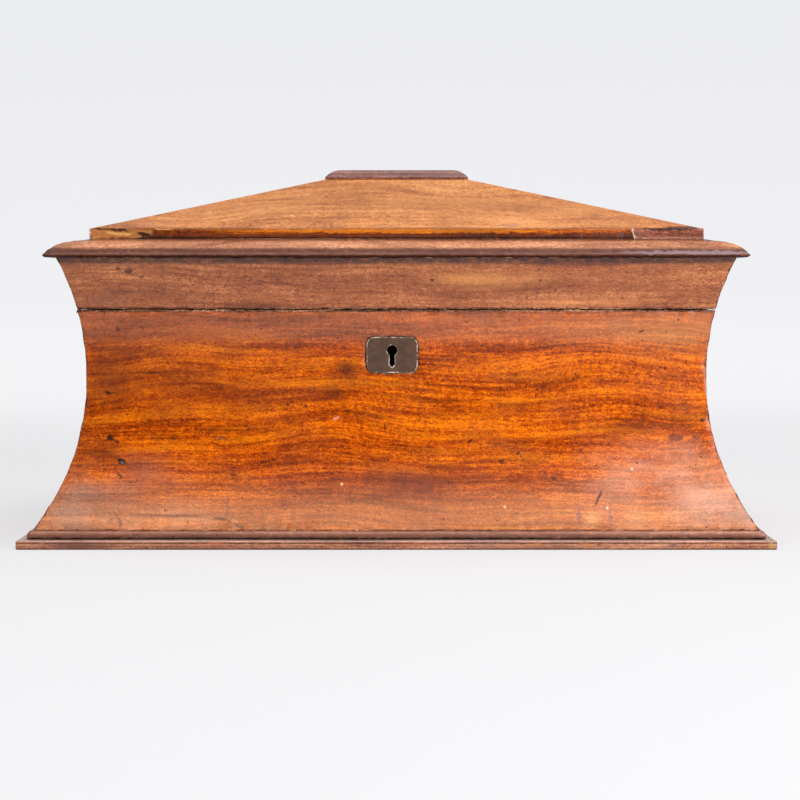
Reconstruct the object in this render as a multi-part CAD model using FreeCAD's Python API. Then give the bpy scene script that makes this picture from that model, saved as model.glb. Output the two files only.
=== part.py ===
import FreeCAD, Part
import math
import os

# Antique tea caddy shaped like a small sarcophagus, in millimetres.
# The front faces -Y, +X is to the right, and the base board stands on Z = 0.
# "Inset" is how far a face lies behind the base board's edge, on all four sides alike.
# Heights that start from another piece are worked out below the driving sizes.

# Base board and the bead course that lies on it
BASE_LENGTH = 330.0
BASE_DEPTH = 185.0
BASE_THICKNESS = 3.9
BASE_TOP_ROUND = 1.0
BASE_FOOT_ROUND = 0.6
BASE_CORNER_ROUND = 1.2
BEAD_INSET = 4.1
BEAD_HEIGHT = 3.7
BEAD_ROUND = 2.0
BEAD_UNDERCUT = 0.5

# Coved walls: one curve that runs from the bead up into the lid
FOOT_STEP = 2.1
COVE_DEPTH = 20.8
COVE_RISE = 64.4
WAIST_HEIGHT = 4.0
CASE_FLARE_HEIGHT = 27.3
WALL_AT_WAIST = 10.0
LID_FLARE = 10.9
LID_RAIL_HEIGHT = 22.7
LID_GAP = 0.5
ARRIS = 0.35

# Bottom, partitions, well board and bowl
BOTTOM_THICKNESS = 6.0
PARTITION_THICKNESS = 5.0
PARTITION_DROP = 3.4
HOUSING_DEPTH = 1.5
WELL_WIDTH = 96.0
WELL_BOARD_THICKNESS = 5.0
WELL_BOARD_DROP = 14.3
JOINERY_CLEARANCE = 0.1
BOWL_RIM_RADIUS = 37.0
BOWL_FOOT_RADIUS = 24.0
BOWL_WALL = 3.2
BOWL_FLOOR = 7.0
BOWL_INNER_ROUND = 7.0
BOWL_HEIGHT = 82.0
BOWL_CLEARANCE = 1.2

# Canisters and their pivoted lids
CANISTER_CLEARANCE = 0.8
CANISTER_WALL = 3.5
CANISTER_FRONT_WALL = 5.0
CANISTER_FLOOR = 4.0
CANISTER_DROP = 3.4
CANISTER_LID_THICKNESS = 5.0
CANISTER_LID_CLEARANCE = 0.3
CANISTER_REBATE = 2.0
PIVOT_RADIUS = 1.0
PIVOT_IN_LID = 6.0
PIVOT_PLAY = 0.05
FOIL_THICKNESS = 0.6
FOIL_DROP = 0.4
KNOB_RADIUS = 6.0
KNOB_HEIGHT = 11.0
KNOB_COLLAR_RADIUS = 4.2
KNOB_COLLAR_HEIGHT = 1.3
KNOB_NECK_RADIUS = 2.6
KNOB_BALL_HEIGHT = 5.5
KNOB_BALL_FOOT = 4.5
KNOB_BALL_HEAD = 3.7
KNOB_CROWN = 0.5
KNOB_TENON_RADIUS = 2.0
KNOB_FROM_FRONT = 30.0

# Thumb moulding round the lid
THUMB_INSET = 11.0
THUMB_HEIGHT = 8.4
THUMB_NOSE = 1.2
SHOULDER_RUN = 7.7
SHOULDER_RISE = 1.35
THUMB_LEDGE = 8.0
LINING_THICKNESS = 3.0

# Hipped roof, its edge facings and the cap
EAVES_INSET = 28.7
EAVES_HEIGHT = 4.7
EAVES_FACING = 1.0
ROOF_RISE = 24.4
ROOF_PANEL_DROP = 7.0
CAP_LENGTH = 67.2
CAP_DEPTH = 26.4
CAP_HEIGHT = 4.8
CAP_EDGE = 1.0
CAP_SWEEP = 8.0
CAP_LIP = 0.4
CAP_TENON = 5.0
# The front facing is broken off short at its left end and pieced at its right
CHIP_LENGTH = 26.0
SPLINTER_LENGTH = 7.0
REPAIR_LENGTH = 33.0
REPAIR_SLANT = 2.2

# Box lock in the front wall, with the link plate that drops into it
LOCK_X = -1.9
KEY_DROP = 17.8
LOCK_PLATE_LENGTH = 56.0
LOCK_PLATE_HEIGHT = 27.0
LOCK_PLATE_THICKNESS = 1.5
LOCK_CASE_LENGTH = 44.0
LOCK_CASE_HEIGHT = 24.0
LOCK_DEPTH = 7.0
LOCK_WALL = 1.0
LOCK_SCREW_MARGIN = 5.5
LINK_SPACING = 18.0
LINK_THICKNESS = 1.6
LINK_WIDTH = 3.6
LINK_LEG = 0.9
LINK_SOLE = 1.4
LINK_DROP = 8.5
LINK_SLOT_PLAY = 0.5
LINK_PLATE_LENGTH = 50.0
BOLT_THROW = 4.5
BOLT_PLAY = 0.2
LINK_CLEARANCE = 0.6
HOOK_CLEARANCE = 0.4
BOLT_BAR_HEIGHT = 4.3
BOLT_POST_WIDTH = 3.0
BOLT_FINGER_LENGTH = 4.4
BOLT_FINGER_HEIGHT = 2.6
BOLT_GUIDE_HEIGHT = 1.4
BOLT_GUIDE_LENGTH = 4.0
TALON_WIDTH = 4.0
TALON_HEIGHT = 1.6
SPRING_THICKNESS = 0.4
SPRING_CROWN = 2.4
SPRING_CLEARANCE = 0.4
KEY_PIN_RADIUS = 0.9
WARD_RADIUS = 3.6
WARD_WALL = 0.4
WARD_HEIGHT = 1.2

# Escutcheon and keyhole
ESCUTCHEON_LENGTH = 22.6
ESCUTCHEON_HEIGHT = 15.9
ESCUTCHEON_THICKNESS = 1.2
ESCUTCHEON_ROUND = 3.4
ESCUTCHEON_PROUD = 0.3
ESCUTCHEON_BELOW_PIN = 2.0
KEYHOLE_RADIUS = 2.3
KEYHOLE_SLOT = 2.3
KEYHOLE_DROP = 7.6
KEYHOLE_POINT = 1.1
KEYHOLE_CLEARANCE = 0.3

# Butt hinges
HINGE_FROM_END = 40.0
HINGE_LENGTH = 44.0
LEAF_DEPTH = 11.0
LEAF_THICKNESS = 1.4
LEAF_GAP = 0.2
KNUCKLE_RADIUS = 2.3
KNUCKLE_COUNT = 5
KNUCKLE_GAP = 0.1
KNUCKLE_SWING = 0.25
BARREL_CLEARANCE = 0.3
HINGE_PIN_RADIUS = 1.0
HINGE_PIN_PLAY = 0.05
PIN_HEAD_RADIUS = 1.6
PIN_HEAD_LENGTH = 0.6

# Countersunk screws, as (shank radius, head radius, length)
HINGE_SCREW = (1.1, 2.1, 8.0)
LOCK_SCREW = (0.8, 1.5, 5.5)
LINK_SCREW = (0.9, 1.7, 7.0)
HINGE_SCREW_PITCH = 15.0
SCREW_PLAY = 0.05
SLOT_WIDTH = 0.6
SLOT_DEPTH = 0.5

# Heights and insets that follow from the sizes above
BEAD_TOP = BASE_THICKNESS + BEAD_HEIGHT
WAIST_LOW = BEAD_TOP + COVE_RISE
WAIST_HIGH = WAIST_LOW + WAIST_HEIGHT
CASE_TOP = WAIST_HIGH + CASE_FLARE_HEIGHT
LID_BOTTOM = CASE_TOP + LID_GAP
RAIL_TOP = LID_BOTTOM + LID_RAIL_HEIGHT
ROOF_BOTTOM = RAIL_TOP + THUMB_HEIGHT
EAVES_TOP = ROOF_BOTTOM + EAVES_HEIGHT
ROOF_TOP = EAVES_TOP + ROOF_RISE
CAP_TOP = ROOF_TOP + CAP_HEIGHT
FOOT_INSET = BEAD_INSET + FOOT_STEP
WAIST_INSET = FOOT_INSET + COVE_DEPTH
INNER_INSET = WAIST_INSET + WALL_AT_WAIST
FLARE_RISE = RAIL_TOP - WAIST_HIGH
LOWER_RADIUS = (COVE_RISE ** 2 + COVE_DEPTH ** 2) / (2 * COVE_DEPTH)
UPPER_RADIUS = (FLARE_RISE ** 2 + LID_FLARE ** 2) / (2 * LID_FLARE)
INNER_X = BASE_LENGTH / 2 - INNER_INSET
INNER_Y = BASE_DEPTH / 2 - INNER_INSET
FLOOR_TOP = BASE_THICKNESS + BOTTOM_THICKNESS
FACING_BACK = EAVES_INSET + EAVES_FACING
WELL_X = WELL_WIDTH / 2
PARTITION_TOP = CASE_TOP - PARTITION_DROP
WELL_BOARD_TOP = CASE_TOP - WELL_BOARD_DROP
WELL_BOARD_BOTTOM = WELL_BOARD_TOP - WELL_BOARD_THICKNESS
CANISTER_TOP = CASE_TOP - CANISTER_DROP
CANISTER_BACK = INNER_Y - CANISTER_CLEARANCE
CANISTER_X = (WELL_X + PARTITION_THICKNESS + INNER_X) / 2
CANISTER_HALF = (INNER_X - WELL_X - PARTITION_THICKNESS) / 2 - CANISTER_CLEARANCE
CANISTER_HOLLOW_X = CANISTER_HALF - CANISTER_WALL
HOLLOW_FRONT = -CANISTER_BACK + CANISTER_FRONT_WALL
HOLLOW_BACK = CANISTER_BACK - CANISTER_WALL
CANISTER_FLOOR_TOP = FLOOR_TOP + CANISTER_FLOOR
LID_SEAT = CANISTER_TOP - CANISTER_LID_THICKNESS
PIVOT_Z = LID_SEAT + CANISTER_LID_THICKNESS / 2
PIVOT_Y = HOLLOW_BACK - CANISTER_LID_CLEARANCE - CANISTER_LID_THICKNESS / 2
KNOB_Y = HOLLOW_FRONT + KNOB_FROM_FRONT
LOCK_FRONT = -INNER_Y - LOCK_DEPTH
LOCK_BACK = -INNER_Y - LOCK_PLATE_THICKNESS
LOCK_MIDDLE = (LOCK_FRONT + LOCK_WALL + LOCK_BACK) / 2
LOCK_FLOOR = CASE_TOP - LOCK_CASE_HEIGHT
KEY_Z = CASE_TOP - KEY_DROP
SELVEDGE_BOTTOM = CASE_TOP - LOCK_PLATE_THICKNESS
LINK_BOTTOM = CASE_TOP - LINK_DROP
LINK_XS = (LOCK_X - LINK_SPACING / 2, LOCK_X + LINK_SPACING / 2)
BOLT_BAR_TOP = LINK_BOTTOM - LINK_CLEARANCE
BOLT_BAR_BOTTOM = BOLT_BAR_TOP - BOLT_BAR_HEIGHT
BOLT_FINGER_BOTTOM = LINK_BOTTOM + LINK_SOLE + LINK_CLEARANCE
BOLT_FINGER_TOP = BOLT_FINGER_BOTTOM + BOLT_FINGER_HEIGHT
BOLT_HALF = LINK_WIDTH / 2 - LINK_LEG - BOLT_PLAY
HOOK_TIPS = [x - LINK_THICKNESS / 2 - HOOK_CLEARANCE for x in LINK_XS]
BOLT_LEFT = HOOK_TIPS[0] - BOLT_FINGER_LENGTH - BOLT_POST_WIDTH
BOLT_RIGHT = LOCK_X + LOCK_CASE_LENGTH / 2 - LOCK_WALL - BOLT_THROW - BOLT_PLAY
RIGHT_POST_LEFT = HOOK_TIPS[1] - BOLT_FINGER_LENGTH - BOLT_POST_WIDTH
SPRING_LEFT = LINK_XS[0] + LINK_THICKNESS / 2 + SPRING_CLEARANCE
SPRING_RIGHT = RIGHT_POST_LEFT - SPRING_CLEARANCE
HINGE_X = INNER_X - HINGE_FROM_END
HINGE_XS = (-HINGE_X, HINGE_X)
KNUCKLE_LENGTH = HINGE_LENGTH / KNUCKLE_COUNT
TALL = 2 * CAP_TOP

# Share of a quarter round's radius that its middle lies from the corner, each way
QUARTER_BEND = 1 - math.sqrt(0.5)
# How near to a face an edge lies when it is taken as on it
TOUCH = 0.01

V = FreeCAD.Vector
X_WAY = V(1, 0, 0)
Y_WAY = V(0, 1, 0)
Z_WAY = V(0, 0, 1)
ORIGIN = V(0, 0, 0)

# Name of a side: its turn about Z from the front, its length and the depth across it
SIDES = {
    "front": (0, BASE_LENGTH, BASE_DEPTH),
    "right": (90, BASE_DEPTH, BASE_LENGTH),
    "back": (180, BASE_LENGTH, BASE_DEPTH),
    "left": (270, BASE_DEPTH, BASE_LENGTH),
}


def cove_inset(height):
    """How far the coved face lies behind the base board's edge at a height."""
    if height < WAIST_LOW:
        drop = WAIST_LOW - height
        return WAIST_INSET - LOWER_RADIUS + math.sqrt(LOWER_RADIUS ** 2 - drop ** 2)
    rise = max(0.0, height - WAIST_HIGH)
    return WAIST_INSET - UPPER_RADIUS + math.sqrt(UPPER_RADIUS ** 2 - rise ** 2)


def on_cove(height):
    return (cove_inset(height), height)


HINGE_Y = BASE_DEPTH / 2 - cove_inset(CASE_TOP) + KNUCKLE_RADIUS + BARREL_CLEARANCE
HINGE_Z = CASE_TOP + LID_GAP / 2
LEAF_EDGE_Y = BASE_DEPTH / 2 - cove_inset(CASE_TOP) - LEAF_DEPTH


def flat_face(outline, place):
    """A face. Each move is a point, or a pair: an arc through one point to the next."""
    here = place(*outline[0])
    start = here
    edges = []
    for move in outline[1:]:
        if isinstance(move[0], tuple):
            middle = place(*move[0])
            end = place(*move[1])
            edges.append(Part.Arc(here, middle, end).toShape())
        else:
            end = place(*move)
            edges.append(Part.LineSegment(here, end).toShape())
        here = end
    edges.append(Part.LineSegment(here, start).toShape())
    return Part.Face(Part.Wire(edges))


def prism(outline, place, sweep):
    return flat_face(outline, place).extrude(sweep)


def turned(outline, foot):
    """A solid of revolution from a (radius, height) outline that starts and ends on its axis."""
    return flat_face(outline, lambda r, z: foot + V(r, 0, z)).revolve(foot, Z_WAY, 360)


def in_plan(x, y):
    return V(x, y, 0)


def block(x_range, y_range, z_range):
    """A box between two limits each way."""
    low = V(x_range[0], y_range[0], z_range[0])
    sizes = [x_range[1] - x_range[0], y_range[1] - y_range[0], z_range[1] - z_range[0]]
    return Part.makeBox(*sizes, low)


def about(middle, half):
    return (middle - half, middle + half)


def mitred(section, side):
    """One side of a four-sided course with 45-degree ends; the section is (inset, height)."""
    turn, length, depth = SIDES[side]
    end = length / 2
    front = depth / 2

    def place(inset, height):
        return V(-end, inset - front, height)

    stick = prism(section, place, V(length, 0, 0))
    deep = min(end, front)
    plan = [(-end, -front), (end, -front), (end - deep, deep - front), (deep - end, deep - front)]
    if end == deep:
        plan.pop()
    piece = stick.common(prism(plan, in_plan, V(0, 0, TALL)))
    piece.rotate(ORIGIN, Z_WAY, turn)
    return piece


def screw(head, way, size, play=0.0):
    """A countersunk screw with its head's face at a point; with play it is the hole for it."""
    shank, wide, length = size
    cone = Part.makeCone(wide, shank, wide - shank, head, way)
    body = cone.fuse(Part.makeCylinder(shank + play, length + 2 * play, head, way))
    if play:
        return body.removeSplitter()
    slot = Part.makeBox(4 * wide, SLOT_WIDTH, 2 * SLOT_DEPTH, V(-2 * wide, -SLOT_WIDTH / 2, -SLOT_DEPTH))
    slot.Placement = FreeCAD.Placement(head, FreeCAD.Rotation(Z_WAY, way)).multiply(slot.Placement)
    return body.cut(slot).removeSplitter()


def base_board():
    """The bottom board, whose rounded edge shows all round as the plinth."""
    board = block(about(0, BASE_LENGTH / 2), about(0, BASE_DEPTH / 2), (0, BASE_THICKNESS))
    upright = [e for e in board.Edges if e.BoundBox.ZLength > BASE_THICKNESS / 2]
    board = board.makeFillet(BASE_CORNER_ROUND, upright)
    top = [e for e in board.Edges if e.BoundBox.ZMin > BASE_THICKNESS - TOUCH]
    board = board.makeFillet(BASE_TOP_ROUND, top)
    foot = [e for e in board.Edges if e.BoundBox.ZMax < TOUCH]
    return board.makeFillet(BASE_FOOT_ROUND, foot)


def bead(side):
    """A flat strip under the wall with a rounded outer edge."""
    round_z = BEAD_TOP - BEAD_ROUND
    bend = BEAD_ROUND * QUARTER_BEND
    section = [
        (INNER_INSET, BASE_THICKNESS),
        (BEAD_INSET + BEAD_UNDERCUT, BASE_THICKNESS),
        (BEAD_INSET, BASE_THICKNESS + BEAD_UNDERCUT),
        (BEAD_INSET, round_z),
        ((BEAD_INSET + bend, BEAD_TOP - bend), (BEAD_INSET + BEAD_ROUND, BEAD_TOP)),
        (INNER_INSET, BEAD_TOP),
    ]
    return mitred(section, side)


def case_wall(side):
    """A solid wall, coved outside and upright inside."""
    eased = CASE_TOP - ARRIS
    section = [
        (INNER_INSET, BEAD_TOP),
        (FOOT_INSET, BEAD_TOP),
        (on_cove((BEAD_TOP + WAIST_LOW) / 2), (WAIST_INSET, WAIST_LOW)),
        (WAIST_INSET, WAIST_HIGH),
        (on_cove((WAIST_HIGH + eased) / 2), on_cove(eased)),
        (cove_inset(CASE_TOP) + ARRIS, CASE_TOP),
        (INNER_INSET, CASE_TOP),
    ]
    return mitred(section, side)


def lid_rail(side):
    """The lid's side, which carries the cove on up to the thumb moulding."""
    eased = LID_BOTTOM + ARRIS
    section = [
        (INNER_INSET, LID_BOTTOM),
        (cove_inset(LID_BOTTOM) + ARRIS, LID_BOTTOM),
        on_cove(eased),
        (on_cove((eased + RAIL_TOP) / 2), on_cove(RAIL_TOP)),
        (INNER_INSET, RAIL_TOP),
    ]
    return mitred(section, side)


def thumb_moulding(side):
    """The projecting thumb moulding: a small nose, a long crown and a gentle shoulder."""
    nose = (THUMB_INSET, RAIL_TOP + THUMB_NOSE)
    shoulder = (EAVES_INSET - SHOULDER_RUN, ROOF_BOTTOM - SHOULDER_RISE)
    slope = math.atan2(SHOULDER_RISE, SHOULDER_RUN)
    run = shoulder[0] - nose[0]
    rise = shoulder[1] - nose[1]
    fall = rise * math.cos(slope) - run * math.sin(slope)
    radius = (run ** 2 + rise ** 2) / (2 * fall)
    centre = (shoulder[0] + radius * math.sin(slope), shoulder[1] - radius * math.cos(slope))
    start_angle = math.atan2(nose[1] - centre[1], nose[0] - centre[0])
    end_angle = math.pi / 2 + slope
    middle_angle = (start_angle + end_angle) / 2
    crown = (centre[0] + radius * math.cos(middle_angle), centre[1] + radius * math.sin(middle_angle))
    bend = THUMB_NOSE * QUARTER_BEND
    back = INNER_INSET + THUMB_LEDGE
    section = [
        (back, RAIL_TOP),
        (THUMB_INSET + THUMB_NOSE, RAIL_TOP),
        ((THUMB_INSET + bend, RAIL_TOP + bend), nose),
        (crown, shoulder),
        (EAVES_INSET, ROOF_BOTTOM),
        (back, ROOF_BOTTOM),
    ]
    return mitred(section, side)


def roof_panel(side):
    """One sloping panel of the hollow hipped roof, cut along its hips."""
    turn, length, depth = SIDES[side]
    cap_length, cap_depth = (CAP_LENGTH, CAP_DEPTH) if turn % 180 == 0 else (CAP_DEPTH, CAP_LENGTH)
    foot_x = length / 2 - FACING_BACK
    foot_y = depth / 2 - FACING_BACK
    head_x = cap_length / 2 - CAP_LIP
    head_y = cap_depth / 2 - CAP_LIP
    run = foot_y - head_y
    inner_foot = foot_y - run * (ROOF_PANEL_DROP - EAVES_HEIGHT) / ROOF_RISE

    def place(y, height):
        return V(-foot_x, -y, height)

    section = [
        (foot_y, ROOF_BOTTOM),
        (foot_y, EAVES_TOP),
        (head_y, ROOF_TOP),
        (head_y, ROOF_TOP - ROOF_PANEL_DROP),
        (inner_foot, ROOF_BOTTOM),
    ]
    stick = prism(section, place, V(2 * foot_x, 0, 0))
    plan = [(-foot_x, -foot_y), (foot_x, -foot_y), (head_x, -head_y), (-head_x, -head_y)]
    panel = stick.common(prism(plan, in_plan, V(0, 0, TALL)))
    panel.rotate(ORIGIN, Z_WAY, turn)
    return panel


def eaves_facing(side):
    """The thin facing on the roof's upright edge."""
    section = [
        (FACING_BACK, ROOF_BOTTOM),
        (EAVES_INSET, ROOF_BOTTOM),
        (EAVES_INSET, EAVES_TOP),
        (FACING_BACK, EAVES_TOP),
    ]
    return mitred(section, side)


def front_facings():
    """The front facing with its broken left end, and the piece let in at its right end."""
    whole = eaves_facing("front")
    end = BASE_LENGTH / 2 - EAVES_INSET
    through = V(0, 2 * EAVES_INSET, 0)

    def place(x, height):
        return V(x, -BASE_DEPTH / 2, height)

    middle = (ROOF_BOTTOM + EAVES_TOP) / 2
    low = (ROOF_BOTTOM + middle) / 2
    break_x = CHIP_LENGTH - end
    hollow = SPLINTER_LENGTH / 3
    chip = prism([
        (-BASE_LENGTH, ROOF_BOTTOM),
        (break_x - SPLINTER_LENGTH, ROOF_BOTTOM),
        (break_x, low),
        ((break_x + hollow, middle), (break_x - hollow, EAVES_TOP)),
        (-BASE_LENGTH, EAVES_TOP),
    ], place, through)
    scarf_x = end - REPAIR_LENGTH
    right_end = prism([
        (scarf_x + REPAIR_SLANT, ROOF_BOTTOM),
        (scarf_x, EAVES_TOP),
        (BASE_LENGTH, EAVES_TOP),
        (BASE_LENGTH, ROOF_BOTTOM),
    ], place, through)
    return whole.cut([chip, right_end]), whole.common(right_end)


def lid_cap():
    """The small moulded cap, with a tenon that plugs the top of the roof."""
    curve_foot = ROOF_TOP + CAP_EDGE
    rise = CAP_TOP - curve_foot
    radius = (rise ** 2 + CAP_SWEEP ** 2) / (2 * rise)
    half_turn = math.asin(CAP_SWEEP / radius) / 2
    bend = (CAP_SWEEP - radius * math.sin(half_turn), CAP_TOP - radius * (1 - math.cos(half_turn)))

    def moulded(wide, place, sweep):
        outline = [
            (-wide, ROOF_TOP),
            (-wide, curve_foot),
            ((bend[0] - wide, bend[1]), (CAP_SWEEP - wide, CAP_TOP)),
            (wide - CAP_SWEEP, CAP_TOP),
            ((wide - bend[0], bend[1]), (wide, curve_foot)),
            (wide, ROOF_TOP),
        ]
        return prism(outline, place, sweep)

    long_way = moulded(CAP_LENGTH / 2, lambda x, z: V(x, -CAP_DEPTH / 2, z), V(0, CAP_DEPTH, 0))
    short_way = moulded(CAP_DEPTH / 2, lambda y, z: V(-CAP_LENGTH / 2, y, z), V(CAP_LENGTH, 0, 0))
    tenon_x = CAP_LENGTH / 2 - CAP_LIP - JOINERY_CLEARANCE
    tenon_y = CAP_DEPTH / 2 - CAP_LIP - JOINERY_CLEARANCE
    tenon = block(about(0, tenon_x), about(0, tenon_y), (ROOF_TOP - CAP_TENON, ROOF_TOP))
    return long_way.common(short_way).fuse(tenon).removeSplitter()


def lid_lining():
    """The board that closes the lid's hollow, seated inside the rails under the moulding."""
    x = INNER_X - JOINERY_CLEARANCE
    y = INNER_Y - JOINERY_CLEARANCE
    return block(about(0, x), about(0, y), (RAIL_TOP - LINING_THICKNESS, RAIL_TOP))


def bottom_board():
    x = INNER_X - JOINERY_CLEARANCE
    y = INNER_Y - JOINERY_CLEARANCE
    return block(about(0, x), about(0, y), (BASE_THICKNESS, FLOOR_TOP))


def partition_block(side, spare):
    """A partition's body on the left (-1) or right (+1), or with spare room, its housing."""
    faces = sorted((side * WELL_X, side * (WELL_X + PARTITION_THICKNESS)))
    x_range = (faces[0] - spare, faces[1] + spare)
    reach = INNER_Y + HOUSING_DEPTH - JOINERY_CLEARANCE + spare
    top = TALL if spare else PARTITION_TOP
    return block(x_range, about(0, reach), (FLOOR_TOP, top))


def well_board_block(spare):
    """The well board's outline, or with spare room, the groove for it."""
    x = WELL_X + HOUSING_DEPTH - JOINERY_CLEARANCE + spare
    y = INNER_Y - JOINERY_CLEARANCE + spare
    return block(about(0, x), about(0, y), (WELL_BOARD_BOTTOM, WELL_BOARD_TOP))


def partition(side):
    return partition_block(side, 0).cut(well_board_block(JOINERY_CLEARANCE))


def bowl_radius(height):
    """The bowl's outer radius at a height above its foot: straight sides that lean out."""
    lean = (BOWL_RIM_RADIUS - BOWL_FOOT_RADIUS) / BOWL_HEIGHT
    return BOWL_FOOT_RADIUS + lean * height


def well_board():
    """The board with a round hole that holds the bowl upright."""
    hole_radius = bowl_radius(WELL_BOARD_TOP - FLOOR_TOP) + BOWL_CLEARANCE
    hole = Part.makeCylinder(hole_radius, TALL, ORIGIN, Z_WAY)
    return well_board_block(0).cut(hole)


def mixing_bowl():
    """A heavy glass bowl: thick foot, leaning sides and a rounded rim."""
    rim = BOWL_WALL / 2
    inner_foot = bowl_radius(BOWL_FLOOR) - BOWL_WALL
    bend = BOWL_INNER_ROUND * QUARTER_BEND
    outline = [
        (0, 0),
        (BOWL_FOOT_RADIUS, 0),
        (BOWL_RIM_RADIUS, BOWL_HEIGHT - rim),
        ((BOWL_RIM_RADIUS - rim, BOWL_HEIGHT), (BOWL_RIM_RADIUS - BOWL_WALL, BOWL_HEIGHT - rim)),
        (inner_foot, BOWL_FLOOR + BOWL_INNER_ROUND),
        ((inner_foot - bend, BOWL_FLOOR + bend), (inner_foot - BOWL_INNER_ROUND, BOWL_FLOOR)),
        (0, BOWL_FLOOR),
    ]
    return turned(outline, V(0, 0, FLOOR_TOP))


def canister(side):
    """A lift-out box with a rebate at the front for its lid to rest on."""
    middle = side * CANISTER_X
    hollow_x = about(middle, CANISTER_HOLLOW_X)
    box = block(about(middle, CANISTER_HALF), about(0, CANISTER_BACK), (FLOOR_TOP, CANISTER_TOP))
    hollow = block(hollow_x, (HOLLOW_FRONT, HOLLOW_BACK), (CANISTER_FLOOR_TOP, TALL))
    rebate = block(hollow_x, (HOLLOW_FRONT - CANISTER_REBATE, HOLLOW_BACK), (LID_SEAT, TALL))
    start = V(middle - CANISTER_HALF, PIVOT_Y, PIVOT_Z)
    pivot_hole = Part.makeCylinder(PIVOT_RADIUS + PIVOT_PLAY, 2 * CANISTER_HALF, start, X_WAY)
    return box.cut([hollow, rebate, pivot_hole])


def canister_foil(side):
    """The thin metal lining inside a canister, open at the top."""
    middle = side * CANISTER_X
    top = LID_SEAT - FOIL_DROP
    outer = block(about(middle, CANISTER_HOLLOW_X), (HOLLOW_FRONT, HOLLOW_BACK), (CANISTER_FLOOR_TOP, top))
    room = block(
        about(middle, CANISTER_HOLLOW_X - FOIL_THICKNESS),
        (HOLLOW_FRONT + FOIL_THICKNESS, HOLLOW_BACK - FOIL_THICKNESS),
        (CANISTER_FLOOR_TOP + FOIL_THICKNESS, TALL),
    )
    return outer.cut(room)


def canister_lid(side):
    """A board that turns on two pins, so its back edge is rounded about them."""
    middle = side * CANISTER_X
    half = CANISTER_HOLLOW_X - CANISTER_LID_CLEARANCE
    front = HOLLOW_FRONT - CANISTER_REBATE + CANISTER_LID_CLEARANCE
    thick = CANISTER_LID_THICKNESS / 2

    def place(y, height):
        return V(middle - half, y, height)

    section = [
        (front, LID_SEAT),
        (PIVOT_Y, LID_SEAT),
        ((PIVOT_Y + thick, PIVOT_Z), (PIVOT_Y, CANISTER_TOP)),
        (front, CANISTER_TOP),
    ]
    board = prism(section, place, V(2 * half, 0, 0))
    knob_hole = Part.makeCylinder(KNOB_TENON_RADIUS, TALL, V(middle, KNOB_Y, 0), Z_WAY)
    return board.cut([knob_hole] + [pivot_pin(side, end) for end in (-1, 1)])


def pivot_pin(side, end):
    """A pin driven through the canister's wall into the lid's edge."""
    middle = side * CANISTER_X
    inner = middle + end * (CANISTER_HOLLOW_X - CANISTER_LID_CLEARANCE - PIVOT_IN_LID)
    length = PIVOT_IN_LID + CANISTER_LID_CLEARANCE + CANISTER_WALL
    return Part.makeCylinder(PIVOT_RADIUS, length, V(inner, PIVOT_Y, PIVOT_Z), X_WAY * end)


def canister_knob(side):
    """A small turned knob with its tenon in the lid."""
    middle = side * CANISTER_X
    head_edge = KNOB_HEIGHT - KNOB_CROWN
    neck_height = (KNOB_COLLAR_HEIGHT + KNOB_BALL_HEIGHT) / 2
    outline = [
        (0, -CANISTER_LID_THICKNESS),
        (KNOB_TENON_RADIUS, -CANISTER_LID_THICKNESS),
        (KNOB_TENON_RADIUS, 0),
        (KNOB_COLLAR_RADIUS, 0),
        (KNOB_COLLAR_RADIUS, KNOB_COLLAR_HEIGHT),
        ((KNOB_NECK_RADIUS, neck_height), (KNOB_BALL_FOOT, KNOB_BALL_HEIGHT)),
        ((KNOB_RADIUS, (KNOB_BALL_HEIGHT + head_edge) / 2), (KNOB_BALL_HEAD, head_edge)),
        (0, KNOB_HEIGHT),
    ]
    return turned(outline, V(middle, KNOB_Y, CANISTER_TOP))


def keyhole(y_range, spare=0.0):
    """A round hole with a slot below it that ends in a point, cut along Y."""
    low, high = y_range
    slot = KEYHOLE_SLOT / 2 + spare
    tip = KEY_Z - KEYHOLE_DROP - spare

    def place(x, height):
        return V(LOCK_X + x, low, height)

    sweep = V(0, high - low, 0)
    tongue = [(-slot, KEY_Z), (slot, KEY_Z), (slot, tip + KEYHOLE_POINT), (0, tip), (-slot, tip + KEYHOLE_POINT)]
    eye = Part.makeCylinder(KEYHOLE_RADIUS + spare, high - low, V(LOCK_X, low, KEY_Z), Y_WAY)
    return eye.fuse(prism(tongue, place, sweep)).removeSplitter()


def escutcheon_block(spare, depth_range):
    """The plate's rounded outline swept through the leaning face of the cove."""
    x = ESCUTCHEON_LENGTH / 2 + spare
    z = ESCUTCHEON_HEIGHT / 2 + spare
    plate = block(about(0, x), depth_range, about(0, z))
    corners = [e for e in plate.Edges if e.BoundBox.YLength > (depth_range[1] - depth_range[0]) / 2]
    plate = plate.makeFillet(ESCUTCHEON_ROUND + spare, corners)
    middle_z = KEY_Z - ESCUTCHEON_BELOW_PIN
    low = on_cove(middle_z - ESCUTCHEON_HEIGHT / 2)
    high = on_cove(middle_z + ESCUTCHEON_HEIGHT / 2)
    lean = math.degrees(math.atan2(low[0] - high[0], high[1] - low[1]))
    plate.rotate(ORIGIN, X_WAY, lean)
    plate.translate(V(LOCK_X, (low[0] + high[0]) / 2 - BASE_DEPTH / 2, middle_z))
    return plate


def escutcheon():
    plate = escutcheon_block(0, (-ESCUTCHEON_PROUD, ESCUTCHEON_THICKNESS - ESCUTCHEON_PROUD))
    return plate.cut(keyhole((-BASE_DEPTH, 0)))


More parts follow.
